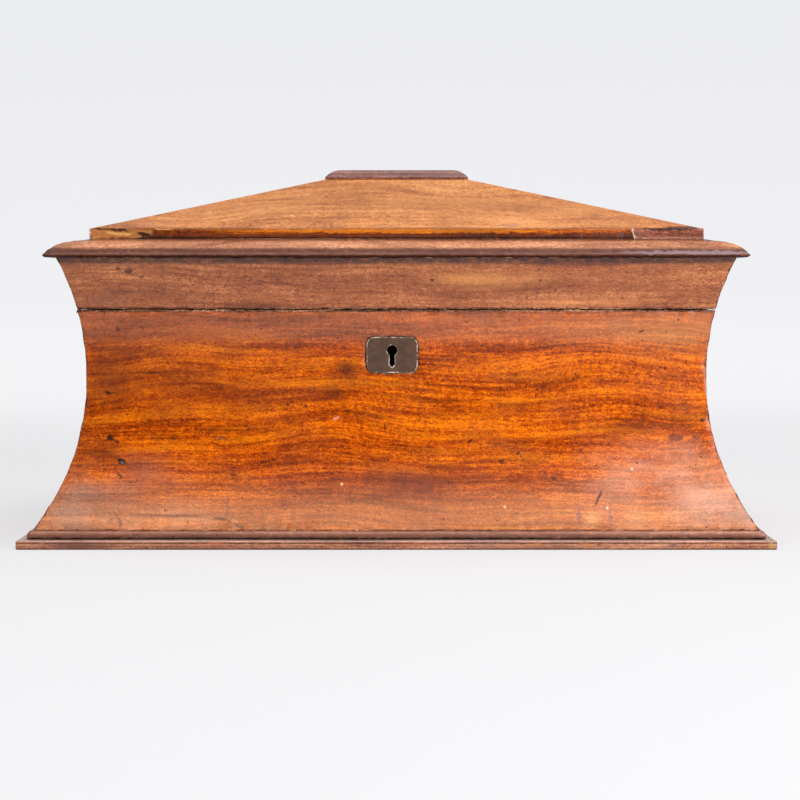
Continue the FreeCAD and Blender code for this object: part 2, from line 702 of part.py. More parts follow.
def lock_screw_heads():
    """Two on each side, half way between the lock's case and the plate's end."""
    x_out = (LOCK_CASE_LENGTH + LOCK_PLATE_LENGTH) / 4
    heights = (CASE_TOP - LOCK_SCREW_MARGIN, CASE_TOP - LOCK_PLATE_HEIGHT + LOCK_SCREW_MARGIN)
    return [V(LOCK_X + end * x_out, -INNER_Y, z) for end in (-1, 1) for z in heights]


def link_screw_heads():
    """One on each side, half way between a link and the plate's end."""
    x_out = (LINK_SPACING + LINK_PLATE_LENGTH) / 4
    return [V(LOCK_X + end * x_out, LOCK_MIDDLE, LID_BOTTOM) for end in (-1, 1)]


def lock_plate():
    """The lock's main plate, flush inside the case, and the slotted selvedge on its top."""
    x_range = about(LOCK_X, LOCK_PLATE_LENGTH / 2)
    main = block(x_range, (LOCK_BACK, -INNER_Y), (CASE_TOP - LOCK_PLATE_HEIGHT, CASE_TOP))
    selvedge = block(x_range, (LOCK_FRONT, -INNER_Y), (SELVEDGE_BOTTOM, CASE_TOP))
    pin = Part.makeCylinder(KEY_PIN_RADIUS, LOCK_BACK - LOCK_FRONT, V(LOCK_X, LOCK_FRONT, KEY_Z), Y_WAY)
    ward_foot = V(LOCK_X, LOCK_BACK - WARD_HEIGHT, KEY_Z)
    ward = Part.makeCylinder(WARD_RADIUS, WARD_HEIGHT, ward_foot, Y_WAY)
    ward = ward.cut(Part.makeCylinder(WARD_RADIUS - WARD_WALL, WARD_HEIGHT, ward_foot, Y_WAY))
    slots = [
        block(
            about(x, LINK_THICKNESS / 2 + LINK_SLOT_PLAY),
            about(LOCK_MIDDLE, LINK_WIDTH / 2 + LINK_SLOT_PLAY),
            (0, TALL),
        )
        for x in LINK_XS
    ]
    holes = [screw(head, -Y_WAY, LOCK_SCREW, SCREW_PLAY) for head in lock_screw_heads()]
    selvedge = selvedge.cut(slots)
    return main.cut(holes).fuse([selvedge, pin, ward]).removeSplitter()


def lock_case_block(spare):
    return block(
        about(LOCK_X, LOCK_CASE_LENGTH / 2 + spare),
        (LOCK_FRONT - spare, LOCK_BACK),
        (LOCK_FLOOR - spare, SELVEDGE_BOTTOM),
    )


def lock_case():
    """The tray that holds the works, with the bolt's guides and the lug its spring bears on."""
    room = block(
        about(LOCK_X, LOCK_CASE_LENGTH / 2 - LOCK_WALL),
        (LOCK_FRONT + LOCK_WALL, 0),
        (LOCK_FLOOR + LOCK_WALL, TALL),
    )
    inner = LOCK_FRONT + LOCK_WALL
    guide_top = BOLT_BAR_BOTTOM - BOLT_PLAY / 2
    guides = [
        block(
            (left, left + BOLT_GUIDE_LENGTH),
            (inner, LOCK_BACK),
            (guide_top - BOLT_GUIDE_HEIGHT, guide_top),
        )
        for left in (BOLT_LEFT + BOLT_THROW, BOLT_RIGHT - BOLT_GUIDE_LENGTH)
    ]
    lug_bottom = BOLT_BAR_TOP + SPRING_CROWN + SPRING_THICKNESS + BOLT_PLAY / 2
    lug = block(
        (HOOK_TIPS[0] + BOLT_THROW + SPRING_CLEARANCE, SPRING_RIGHT),
        (inner, LOCK_MIDDLE + BOLT_HALF),
        (lug_bottom, lug_bottom + BOLT_GUIDE_HEIGHT),
    )
    tray = lock_case_block(0).cut(room).fuse(guides + [lug])
    return tray.cut(keyhole((LOCK_FRONT, inner), KEYHOLE_CLEARANCE)).removeSplitter()


def lock_bolt():
    """The sliding bolt, drawn back: a bar with two hooks that enter the links' eyes."""
    thick = about(LOCK_MIDDLE, BOLT_HALF)
    bar = block((BOLT_LEFT, BOLT_RIGHT), thick, (BOLT_BAR_BOTTOM, BOLT_BAR_TOP))
    hooks = []
    for tip in HOOK_TIPS:
        post_right = tip - BOLT_FINGER_LENGTH
        post = block((post_right - BOLT_POST_WIDTH, post_right), thick, (BOLT_BAR_BOTTOM, BOLT_FINGER_TOP))
        finger = block((post_right, tip), thick, (BOLT_FINGER_BOTTOM, BOLT_FINGER_TOP))
        hooks += [post, finger]
    talon_x = about(LOCK_X, TALON_WIDTH / 2)
    talon = block(talon_x, thick, (BOLT_BAR_BOTTOM, BOLT_BAR_BOTTOM + TALON_HEIGHT))
    return bar.fuse(hooks).cut(talon).removeSplitter()


def lock_spring():
    """A bowed strip that stands on the bolt's bar and rubs on the case's lug."""
    half = (SPRING_RIGHT - SPRING_LEFT) / 2 - SPRING_THICKNESS
    middle = (SPRING_LEFT + SPRING_RIGHT) / 2

    def place(x, height):
        return V(middle + x, LOCK_MIDDLE - BOLT_HALF, BOLT_BAR_TOP + height)

    outline = [
        (-half, 0),
        ((0, SPRING_CROWN), (half, 0)),
        (half + SPRING_THICKNESS, 0),
        ((0, SPRING_CROWN + SPRING_THICKNESS), (-half - SPRING_THICKNESS, 0)),
    ]
    return prism(outline, place, V(0, 2 * BOLT_HALF, 0))


def link_plate():
    """The plate under the lid's front rail, with two eyed links that drop into the lock."""
    plate = block(
        about(LOCK_X, LINK_PLATE_LENGTH / 2),
        (LOCK_FRONT, -INNER_Y - LOCK_WALL),
        (LID_BOTTOM, LID_BOTTOM + LOCK_PLATE_THICKNESS),
    )
    eye_y = about(LOCK_MIDDLE, LINK_WIDTH / 2 - LINK_LEG)
    links = []
    for x in LINK_XS:
        link = block(about(x, LINK_THICKNESS / 2), about(LOCK_MIDDLE, LINK_WIDTH / 2), (LINK_BOTTOM, LID_BOTTOM))
        eye = block(about(x, LINK_THICKNESS), eye_y, (LINK_BOTTOM + LINK_SOLE, SELVEDGE_BOTTOM))
        links.append(link.cut(eye))
    holes = [screw(head, Z_WAY, LINK_SCREW, SCREW_PLAY) for head in link_screw_heads()]
    return plate.cut(holes).fuse(links).removeSplitter()


def link_plate_recess():
    x = LINK_PLATE_LENGTH / 2 + JOINERY_CLEARANCE
    y_range = (LOCK_FRONT - JOINERY_CLEARANCE, -INNER_Y - LOCK_WALL + JOINERY_CLEARANCE)
    return block(about(LOCK_X, x), y_range, (LID_BOTTOM - LID_GAP, LID_BOTTOM + LOCK_PLATE_THICKNESS))


def leaf_heights(on_lid):
    """The lowest and highest face of a leaf: the lid's lies above the joint, the case's below."""
    near = LEAF_GAP / 2
    far = near + LEAF_THICKNESS
    return (HINGE_Z + near, HINGE_Z + far) if on_lid else (HINGE_Z - far, HINGE_Z - near)


def hinge_screw_heads(x, on_lid):
    low, high = leaf_heights(on_lid)
    y = LEAF_EDGE_Y + LEAF_DEPTH / 2
    z = low if on_lid else high
    return [V(x + step * HINGE_SCREW_PITCH, y, z) for step in (-1, 0, 1)]


def hinge_screws(on_lid, play=0.0):
    way = Z_WAY if on_lid else -Z_WAY
    return [screw(head, way, HINGE_SCREW, play) for x in HINGE_XS for head in hinge_screw_heads(x, on_lid)]


def hinge_leaf(x, on_lid):
    """A leaf with its own knuckles; the gaps between them clear the other leaf's knuckles."""
    start = x - HINGE_LENGTH / 2
    leaf = block((start, start + HINGE_LENGTH), (LEAF_EDGE_Y, HINGE_Y), leaf_heights(on_lid))
    knuckles = []
    gaps = []
    for number in range(KNUCKLE_COUNT):
        foot = start + number * KNUCKLE_LENGTH
        own = (number % 2 == 1) == on_lid
        if own:
            base = V(foot + KNUCKLE_GAP / 2, HINGE_Y, HINGE_Z)
            knuckles.append(Part.makeCylinder(KNUCKLE_RADIUS, KNUCKLE_LENGTH - KNUCKLE_GAP, base, X_WAY))
        else:
            base = V(foot - KNUCKLE_GAP / 2, HINGE_Y, HINGE_Z)
            gap = Part.makeCylinder(KNUCKLE_RADIUS + KNUCKLE_SWING, KNUCKLE_LENGTH + KNUCKLE_GAP, base, X_WAY)
            gaps.append(gap)
    bore_radius = HINGE_PIN_RADIUS + (HINGE_PIN_PLAY if on_lid else 0)
    bore = Part.makeCylinder(bore_radius, 2 * HINGE_LENGTH, V(x - HINGE_LENGTH, HINGE_Y, HINGE_Z), X_WAY)
    holes = hinge_screws(on_lid, SCREW_PLAY)
    return leaf.cut(gaps).fuse(knuckles).cut([bore] + holes).removeSplitter()


def hinge_pin(x):
    start = x - HINGE_LENGTH / 2
    shaft = Part.makeCylinder(HINGE_PIN_RADIUS, HINGE_LENGTH, V(start, HINGE_Y, HINGE_Z), X_WAY)
    ends = [
        Part.makeCylinder(PIN_HEAD_RADIUS, PIN_HEAD_LENGTH, V(start, HINGE_Y, HINGE_Z), -X_WAY),
        Part.makeCylinder(PIN_HEAD_RADIUS, PIN_HEAD_LENGTH, V(start + HINGE_LENGTH, HINGE_Y, HINGE_Z), X_WAY),
    ]
    return shaft.fuse(ends).removeSplitter()


def leaf_mortises(on_lid):
    """The shallow beds for both leaves, with a little room at their ends."""
    low, high = leaf_heights(on_lid)
    z_range = (LID_BOTTOM - LID_GAP, high) if on_lid else (low, CASE_TOP + LID_GAP)
    y_range = (LEAF_EDGE_Y - JOINERY_CLEARANCE, BASE_DEPTH / 2)
    return [block(about(x, HINGE_LENGTH / 2 + JOINERY_CLEARANCE), y_range, z_range) for x in HINGE_XS]


def case_front():
    """The front wall with the lock's mortise, the keyhole, the escutcheon's bed and the housings."""
    plate_x = about(LOCK_X, LOCK_PLATE_LENGTH / 2 + JOINERY_CLEARANCE)
    plate_bottom = CASE_TOP - LOCK_PLATE_HEIGHT - JOINERY_CLEARANCE
    plate_bed = block(plate_x, (LOCK_BACK, 0), (plate_bottom, TALL))
    selvedge_bed = block(plate_x, (LOCK_FRONT - JOINERY_CLEARANCE, 0), (SELVEDGE_BOTTOM, TALL))
    beds = [plate_bed, selvedge_bed, lock_case_block(JOINERY_CLEARANCE)]
    beds.append(keyhole((-BASE_DEPTH, LOCK_FRONT), KEYHOLE_CLEARANCE))
    beds.append(escutcheon_block(JOINERY_CLEARANCE, (-WAIST_INSET, ESCUTCHEON_THICKNESS - ESCUTCHEON_PROUD)))
    beds += [screw(head, -Y_WAY, LOCK_SCREW, SCREW_PLAY) for head in lock_screw_heads()]
    beds += [partition_block(side, JOINERY_CLEARANCE) for side in (-1, 1)]
    return case_wall("front").cut(beds)


def case_back():
    """The back wall with the hinges' beds and the housings."""
    beds = leaf_mortises(False) + hinge_screws(False, SCREW_PLAY)
    beds += [partition_block(side, JOINERY_CLEARANCE) for side in (-1, 1)]
    return case_wall("back").cut(beds)


def lid_front_rail():
    beds = [link_plate_recess()]
    beds += [screw(head, Z_WAY, LINK_SCREW, SCREW_PLAY) for head in link_screw_heads()]
    return lid_rail("front").cut(beds)


def lid_back_rail():
    return lid_rail("back").cut(leaf_mortises(True) + hinge_screws(True, SCREW_PLAY))


def pieces():
    """Every piece by its name."""
    made = {
        "base_board": base_board(),
        "bottom_board": bottom_board(),
        "well_board": well_board(),
        "mixing_bowl": mixing_bowl(),
        "case_front": case_front(),
        "case_back": case_back(),
        "case_left": case_wall("left"),
        "case_right": case_wall("right"),
        "escutcheon": escutcheon(),
        "lock_plate": lock_plate(),
        "lock_case": lock_case(),
        "lock_bolt": lock_bolt(),
        "lock_spring": lock_spring(),
        "lock_screws": Part.makeCompound([screw(head, -Y_WAY, LOCK_SCREW) for head in lock_screw_heads()]),
        "link_plate": link_plate(),
        "link_screws": Part.makeCompound([screw(head, Z_WAY, LINK_SCREW) for head in link_screw_heads()]),
        "hinge_pins": Part.makeCompound([hinge_pin(x) for x in HINGE_XS]),
        "hinge_case_screws": Part.makeCompound(hinge_screws(False)),
        "hinge_lid_screws": Part.makeCompound(hinge_screws(True)),
        "lid_front_rail": lid_front_rail(),
        "lid_back_rail": lid_back_rail(),
        "lid_left_rail": lid_rail("left"),
        "lid_right_rail": lid_rail("right"),
        "lid_lining": lid_lining(),
        "lid_cap": lid_cap(),
    }
    for side in SIDES:
        made["bead_" + side] = bead(side)
        made["thumb_moulding_" + side] = thumb_moulding(side)
        made["roof_" + side] = roof_panel(side)
    for side in ("left", "right", "back"):
        made["eaves_facing_" + side] = eaves_facing(side)
    made["eaves_facing_front"], made["eaves_facing_repair"] = front_facings()
    for side, name in ((-1, "left"), (1, "right")):
        made["partition_" + name] = partition(side)
        made["canister_" + name] = canister(side)
        made["canister_foil_" + name] = canister_foil(side)
        made["canister_lid_" + name] = canister_lid(side)
        made["canister_knob_" + name] = canister_knob(side)
        made["canister_pivots_" + name] = Part.makeCompound([pivot_pin(side, end) for end in (-1, 1)])
        made["hinge_case_leaf_" + name] = hinge_leaf(side * HINGE_X, False)
        made["hinge_lid_leaf_" + name] = hinge_leaf(side * HINGE_X, True)
    return made


def main():
    os.makedirs("parts", exist_ok=True)
    for name, shape in sorted(pieces().items()):
        shape.exportStep("parts/" + name + ".step")
        print(name, "solids", len(shape.Solids), "valid", shape.isValid(), "volume", round(shape.Volume, 1))


main()
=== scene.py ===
# %% [markdown]
# # An antique tea caddy, dressed in Blender
#
# The caddy is a mahogany box shaped like a small sarcophagus: waisted sides, a hipped lid with a
# thumb moulding, two canisters and a glass bowl inside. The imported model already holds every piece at
# its real size and place, so this file makes the finish, the worn edges and the light.

# %% Load the frame
import math

import bpy
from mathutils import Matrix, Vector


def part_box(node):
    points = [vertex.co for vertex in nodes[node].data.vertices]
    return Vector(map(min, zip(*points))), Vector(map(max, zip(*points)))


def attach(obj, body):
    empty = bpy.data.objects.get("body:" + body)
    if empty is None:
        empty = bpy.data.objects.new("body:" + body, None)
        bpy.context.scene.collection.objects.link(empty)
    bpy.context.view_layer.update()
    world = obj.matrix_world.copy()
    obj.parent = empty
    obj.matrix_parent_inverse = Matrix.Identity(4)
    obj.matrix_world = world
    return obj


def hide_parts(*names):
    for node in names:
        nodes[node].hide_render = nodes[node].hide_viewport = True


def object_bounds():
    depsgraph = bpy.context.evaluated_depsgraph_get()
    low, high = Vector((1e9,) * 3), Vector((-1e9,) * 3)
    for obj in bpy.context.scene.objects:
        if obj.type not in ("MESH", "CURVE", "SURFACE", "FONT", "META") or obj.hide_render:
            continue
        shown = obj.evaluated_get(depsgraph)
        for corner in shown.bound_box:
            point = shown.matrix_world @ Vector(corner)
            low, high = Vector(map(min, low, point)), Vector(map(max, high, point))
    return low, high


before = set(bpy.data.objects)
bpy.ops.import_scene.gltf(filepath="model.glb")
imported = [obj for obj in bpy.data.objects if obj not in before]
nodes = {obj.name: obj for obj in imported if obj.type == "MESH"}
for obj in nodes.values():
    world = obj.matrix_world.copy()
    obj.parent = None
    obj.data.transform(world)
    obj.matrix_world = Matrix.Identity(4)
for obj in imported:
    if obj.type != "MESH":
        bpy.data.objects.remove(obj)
cad_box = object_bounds()
print("CAD box, in metres:", [tuple(round(v, 4) for v in corner) for corner in cad_box])

# %% [markdown]
# ## Sizes that the frame gives
#
# Every place below is worked out from the boxes of the CAD nodes, so a new model.glb moves it along. The
# patterns of wood are thought of in millimetres, and the frame is in metres, so each level that a
# pattern uses is turned to millimetres once, here.

# %% Sizes from the frame
MM = 0.001
HALF_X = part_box("base_board")[1].x
HALF_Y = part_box("base_board")[1].y
BASE_TOP_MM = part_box("base_board")[1].z / MM
BEAD_TOP_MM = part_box("bead_front")[1].z / MM
CASE_TOP_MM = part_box("case_front")[1].z / MM
RAIL_TOP_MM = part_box("lid_front_rail")[1].z / MM
EAVES_LOW_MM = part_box("eaves_facing_front")[0].z / MM
EAVES_TOP_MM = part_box("eaves_facing_front")[1].z / MM
CAP_LOW_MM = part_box("lid_cap")[0].z / MM
CAP_TOP_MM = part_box("lid_cap")[1].z / MM
levels_mm = (BASE_TOP_MM, BEAD_TOP_MM, CASE_TOP_MM, RAIL_TOP_MM, EAVES_TOP_MM, CAP_TOP_MM)
print("levels in mm:", [round(v, 1) for v in levels_mm])

# %% [markdown]
# ## Camera
#
# The photograph is taken straight from the front, with a long lens about 0.8 m before the base and a
# little above the lid's joint, tipped down so slightly that the roof still shows.

# %% Camera
CAMERA_PLACE = (0.0016, -0.8925, 0.11446)
CAMERA_TIP_DOWN = 3.535
CAMERA_LENS = 83.77

camera_data = bpy.data.cameras.new("camera")
camera_data.lens = CAMERA_LENS
camera_data.clip_start = 0.01
camera_data.clip_end = 20.0
camera = bpy.data.objects.new("camera", camera_data)
camera.location = CAMERA_PLACE
camera.rotation_euler = (math.radians(90 - CAMERA_TIP_DOWN), 0, 0)
bpy.context.scene.collection.objects.link(camera)
bpy.context.scene.camera = camera

# %% [markdown]
# ## Helpers for materials
#
# Colours are given as sRGB hex values, and shaders want linear ones, so one function turns
# them. One small function adds a node with its settings and links and hands back the output that the
# next node takes, which keeps each recipe short.

# %% Helpers for materials
def linear(hex_colour):
    """An sRGB hex colour as the linear RGBA that a shader takes."""
    channels = [int(hex_colour[i:i + 2], 16) / 255 for i in (0, 2, 4)]
    lit = [c / 12.92 if c <= 0.04045 else ((c + 0.055) / 1.055) ** 2.4 for c in channels]
    return (*lit, 1.0)


def add(tree, kind, sockets=(), out=0, **settings):
    """Adds a node, fills its inputs with values or links, and returns one of its outputs."""
    made = tree.nodes.new("ShaderNode" + kind)
    for name, value in settings.items():
        setattr(made, name, value)
    for key, value in (sockets.items() if isinstance(sockets, dict) else enumerate(sockets)):
        if isinstance(value, bpy.types.NodeSocket):
            tree.links.new(value, made.inputs[key])
        else:
            made.inputs[key].default_value = value
    return made.outputs[out] if made.outputs else None


def new_material(name):
    """An empty node material and its tree."""
    material = bpy.data.materials.new(name)
    material.use_nodes = True
    material.node_tree.nodes.clear()
    return material, material.node_tree

# %% [markdown]
# ## Coordinates of a board
#
# A board's grain runs along its length, so the pattern is laid in board coordinates: X along the grain
# and Z up the board, in millimetres. The end boards are turned by a quarter, and each board is moved to
# its own place in the pattern, as if cut from another part of the plank. Noise is stretched by dividing
# the coordinates by the length of a grain in each direction.

# %% Board coordinates
def board_coordinates(tree, turn=0.0, shift=(0.0, 0.0, 0.0)):
    """Object coordinates in millimetres, turned so that X runs along the grain."""
    place = add(tree, "TexCoord", out="Object")
    return add(tree, "Mapping", (place, shift, (0, 0, math.radians(turn)), (1000, 1000, 1000)))


def grain(tree, board, lengths, detail=2.0, roughness=0.5):
    """Noise whose grains have the given lengths in millimetres: along the board, across and up."""
    place = add(tree, "Mapping", {"Vector": board, "Scale": [1 / n for n in lengths]})
    return add(tree, "TexNoise", {"Vector": place, "Scale": 1.0, "Detail": detail, "Roughness": roughness})


def level(tree, height, low, high, soft, amount=1.0):
    """The amount between two heights in millimetres, fading to nothing over a soft edge."""
    rising = add(tree, "MapRange", (height, low - soft, low, 0.0, amount), interpolation_type="SMOOTHSTEP")
    falling = add(tree, "MapRange", (height, high, high + soft, 1.0, 0.0), interpolation_type="SMOOTHSTEP")
    return add(tree, "Math", (rising, falling), operation="MULTIPLY")


def spot(tree, place, centre, reach, turn=0.0, edge=0.35, amount=1.0):
    """The amount inside an ellipse on the front, centred at (x, z) with half sizes in millimetres."""
    where = (centre[0], -HALF_Y / MM + 20, centre[1])
    size = (reach[0], 30, reach[1])
    inside = add(tree, "Mapping", (place, where, (0, -math.radians(turn), 0), size), vector_type="TEXTURE")
    far = add(tree, "VectorMath", (inside,), out="Value", operation="LENGTH")
    return add(tree, "MapRange", (far, edge, 1.0, amount, 0.0), interpolation_type="SMOOTHSTEP")

# %% [markdown]
# ## Old mahogany
#
# Mahogany has interlocked grain: long streaks that shift between amber and red brown, a short curl that
# catches the light, and open pores that read as dark dashes. Two centuries of wax add a dusky skin, laid here in
# random patches. The recipe lays those on each other: grain, amber flame, pores, skin, bands at certain heights,
# marks and patches at certain places, and specks. Besides real stains, dark joints and scars, the bands and
# patches hold painted shade under overhangs and in creases, painted highlights on noses and arrises, and painted
# sheen where a surface reflects the bright tent. Each is a mask and a colour, so a board only lists its own.

# %% Mahogany
PORE = (1.5, 0.8, 0.6)
SPECKS = ((2.6, 0.5), (8.0, 1.0))
GRAIN_THROUGH = 0.30
SMALL_MARK = 3.0


def specks(tree, place, spacing, largest):
    """Small round dents, most of them tiny, strewn about one to a cell."""
    cells = add(tree, "Mapping", {"Vector": place, "Scale": [1 / spacing] * 3})
    distance = add(tree, "TexVoronoi", {"Vector": cells, "Scale": 1.0})
    pick = add(tree, "SeparateColor", (distance.node.outputs["Color"],))
    reach = add(tree, "Math", (pick, 5.0), operation="POWER")
    reach = add(tree, "Math", (reach, largest / spacing), operation="MULTIPLY")
    return add(tree, "Math", (distance, reach), operation="LESS_THAN")


def mahogany(name, tones, turn=0.0, shift=(0.0, 0.0, 0.0), skin="803C12", skin_share=0.3, roughness=0.24,
             figure=1.0, flame="EE8008", flame_share=0.0, levels=(), spots=(), speck_share=0.75, coat=0.0,
             shine=0.5, whole=0.45, skin_only=False):
    """Waxed mahogany.

    levels are (low, high, soft, hex, amount), of which whole is never broken up by noise, and spots
    are (centre, reach, turn, hex, amount). With skin_only the levels stay off flat tops and undersides.
    """
    material, tree = new_material(name)
    place = board_coordinates(tree)
    board = board_coordinates(tree, turn, shift)
    height = add(tree, "SeparateXYZ", (place,), out=2)

    wander = grain(tree, board, (90, 60, 60), detail=1.0)
    lift = add(tree, "MapRange", (wander, 0.0, 1.0, -9.0, 9.0))
    bent = add(tree, "VectorMath", (board, add(tree, "CombineXYZ", {2: lift})), operation="ADD")
    bands = grain(tree, bent, (70, 40, 8), detail=4.0, roughness=0.65)
    lines = grain(tree, bent, (40, 20, 1.4), detail=3.0, roughness=0.6)
    curl = grain(tree, bent, (2.0, 20, 0.9), detail=2.0, roughness=0.6)
    ripple = grain(tree, board, (3.6, 40, 12), detail=2.0)
    crackle = grain(tree, place, (0.7, 0.7, 0.7), detail=2.0, roughness=0.7)
    tone = 0.5
    for layer, strength in ((bands, 1.5), (lines, 1.2), (curl, 0.9), (ripple, 0.35), (crackle, 1.4)):
        centred = add(tree, "Math", (layer, 0.5), operation="SUBTRACT")
        tone = add(tree, "Math", (centred, strength * figure, tone), operation="MULTIPLY_ADD")
    ramp = add(tree, "ValToRGB", (tone,)).node.color_ramp
    ramp.elements[0].position = 0.08
    ramp.elements[0].color = linear(tones[0])
    ramp.elements[1].position = 0.92
    ramp.elements[1].color = linear(tones[2])
    ramp.elements.new(0.5).color = linear(tones[1])
    colour = tree.nodes[-1].outputs["Color"]

    layers = []
    if flame_share:
        flames = grain(tree, bent, (60, 30, 4.5), detail=3.0, roughness=0.6)
        stains = grain(tree, place, (26, 26, 9), detail=4.0, roughness=0.6)
        layers.append((add(tree, "MapRange", (stains, 0.54, 0.72, 0.0, 0.7)), "6E2A0A"))
        tongues = add(tree, "MapRange", (flames, 0.52, 0.72, 0.0, flame_share))
        middle = level(tree, height, 36, 88, 16)
        layers.append((add(tree, "Math", (tongues, middle), operation="MULTIPLY"), flame))
    pore = add(tree, "MapRange", (grain(tree, bent, PORE, detail=2.0), 0.58, 0.66, 0.0, 0.6))
    layers.append((pore, "5A2008"))
    dusky = grain(tree, place, (34, 34, 18), detail=3.0, roughness=0.6)
    skin_here = add(tree, "MapRange", (dusky, 0.40, 0.70, 0.0, 1.0))
    layers.append((add(tree, "Math", (skin_here, skin_share), operation="MULTIPLY"), skin))

    broken = grain(tree, place, (3.5, 3.5, 1.8), detail=4.0, roughness=0.7)
    patchy = add(tree, "MapRange", (broken, 0.30, 0.55, whole, 1.0))
    if skin_only:
        lean = add(tree, "SeparateXYZ", (add(tree, "TexCoord", out="Normal"),), out=2)
        lean = add(tree, "Math", (lean,), operation="ABSOLUTE")
        upright = add(tree, "MapRange", (lean, 0.85, 0.95, 1.0, 0.0))
        patchy = add(tree, "Math", (patchy, upright), operation="MULTIPLY")
    for low, high, soft, hex_colour, amount in levels:
        here = level(tree, height, low, high, soft, amount)
        layers.append((add(tree, "Math", (here, patchy), operation="MULTIPLY"), hex_colour))
    if spots:
        shake = add(tree, "MapRange", (broken, 0.3, 0.7, -0.6, 0.6))
        shake = add(tree, "CombineXYZ", (shake, 0.0, shake))
        ragged = add(tree, "VectorMath", (place, shake), operation="ADD")
        cloudy = add(tree, "MapRange", (dusky, 0.35, 0.62, 0.25, 1.2))
    for centre, reach, tilt, hex_colour, amount in sorted(spots, key=lambda s: min(s[1]) < SMALL_MARK):
        if min(reach) < SMALL_MARK:
            mark = spot(tree, ragged, centre, reach, tilt, 0.6, amount)
        else:
            mark = spot(tree, ragged, centre, reach, tilt, 0.1, amount)
            mark = add(tree, "Math", (mark, cloudy), operation="MULTIPLY", use_clamp=True)
        layers.append((mark, hex_colour))
    for spacing, largest in SPECKS:
        dent = specks(tree, place, spacing, largest)
        layers.append((add(tree, "Math", (dent, speck_share), operation="MULTIPLY"), "35201A"))
    for mask, hex_colour in layers:
        colour = add(tree, "Mix", {0: mask, 6: colour, 7: linear(hex_colour)}, out=2, data_type="RGBA")

    through = add(tree, "MapRange", (tone, 0.0, 1.0, 1 - GRAIN_THROUGH, 1 + GRAIN_THROUGH))
    colour = add(tree, "VectorMath", {0: colour, "Scale": through}, operation="SCALE")

    rough = add(tree, "Math", (skin_here, 0.12, roughness), operation="MULTIPLY_ADD")
    hollow = add(tree, "Math", (lines, 0.3), operation="MULTIPLY")
    for mask, depth in ((pore, -0.6), (dent, -0.9), (grain(tree, place, (16, 16, 9)), 2.0)):
        hollow = add(tree, "Math", (mask, depth, hollow), operation="MULTIPLY_ADD")
    uneven = add(tree, "Bump", {"Height": hollow, "Strength": 0.25, "Distance": 0.2 * MM})
    shader = add(tree, "BsdfPrincipled", {
        "Base Color": colour,
        "Roughness": rough,
        "Normal": uneven,
        "IOR": 1.5,
        "Specular IOR Level": shine,
        "Coat Weight": coat,
        "Coat Roughness": 0.28,
    })
    add(tree, "OutputMaterial", {"Surface": shader})
    return material
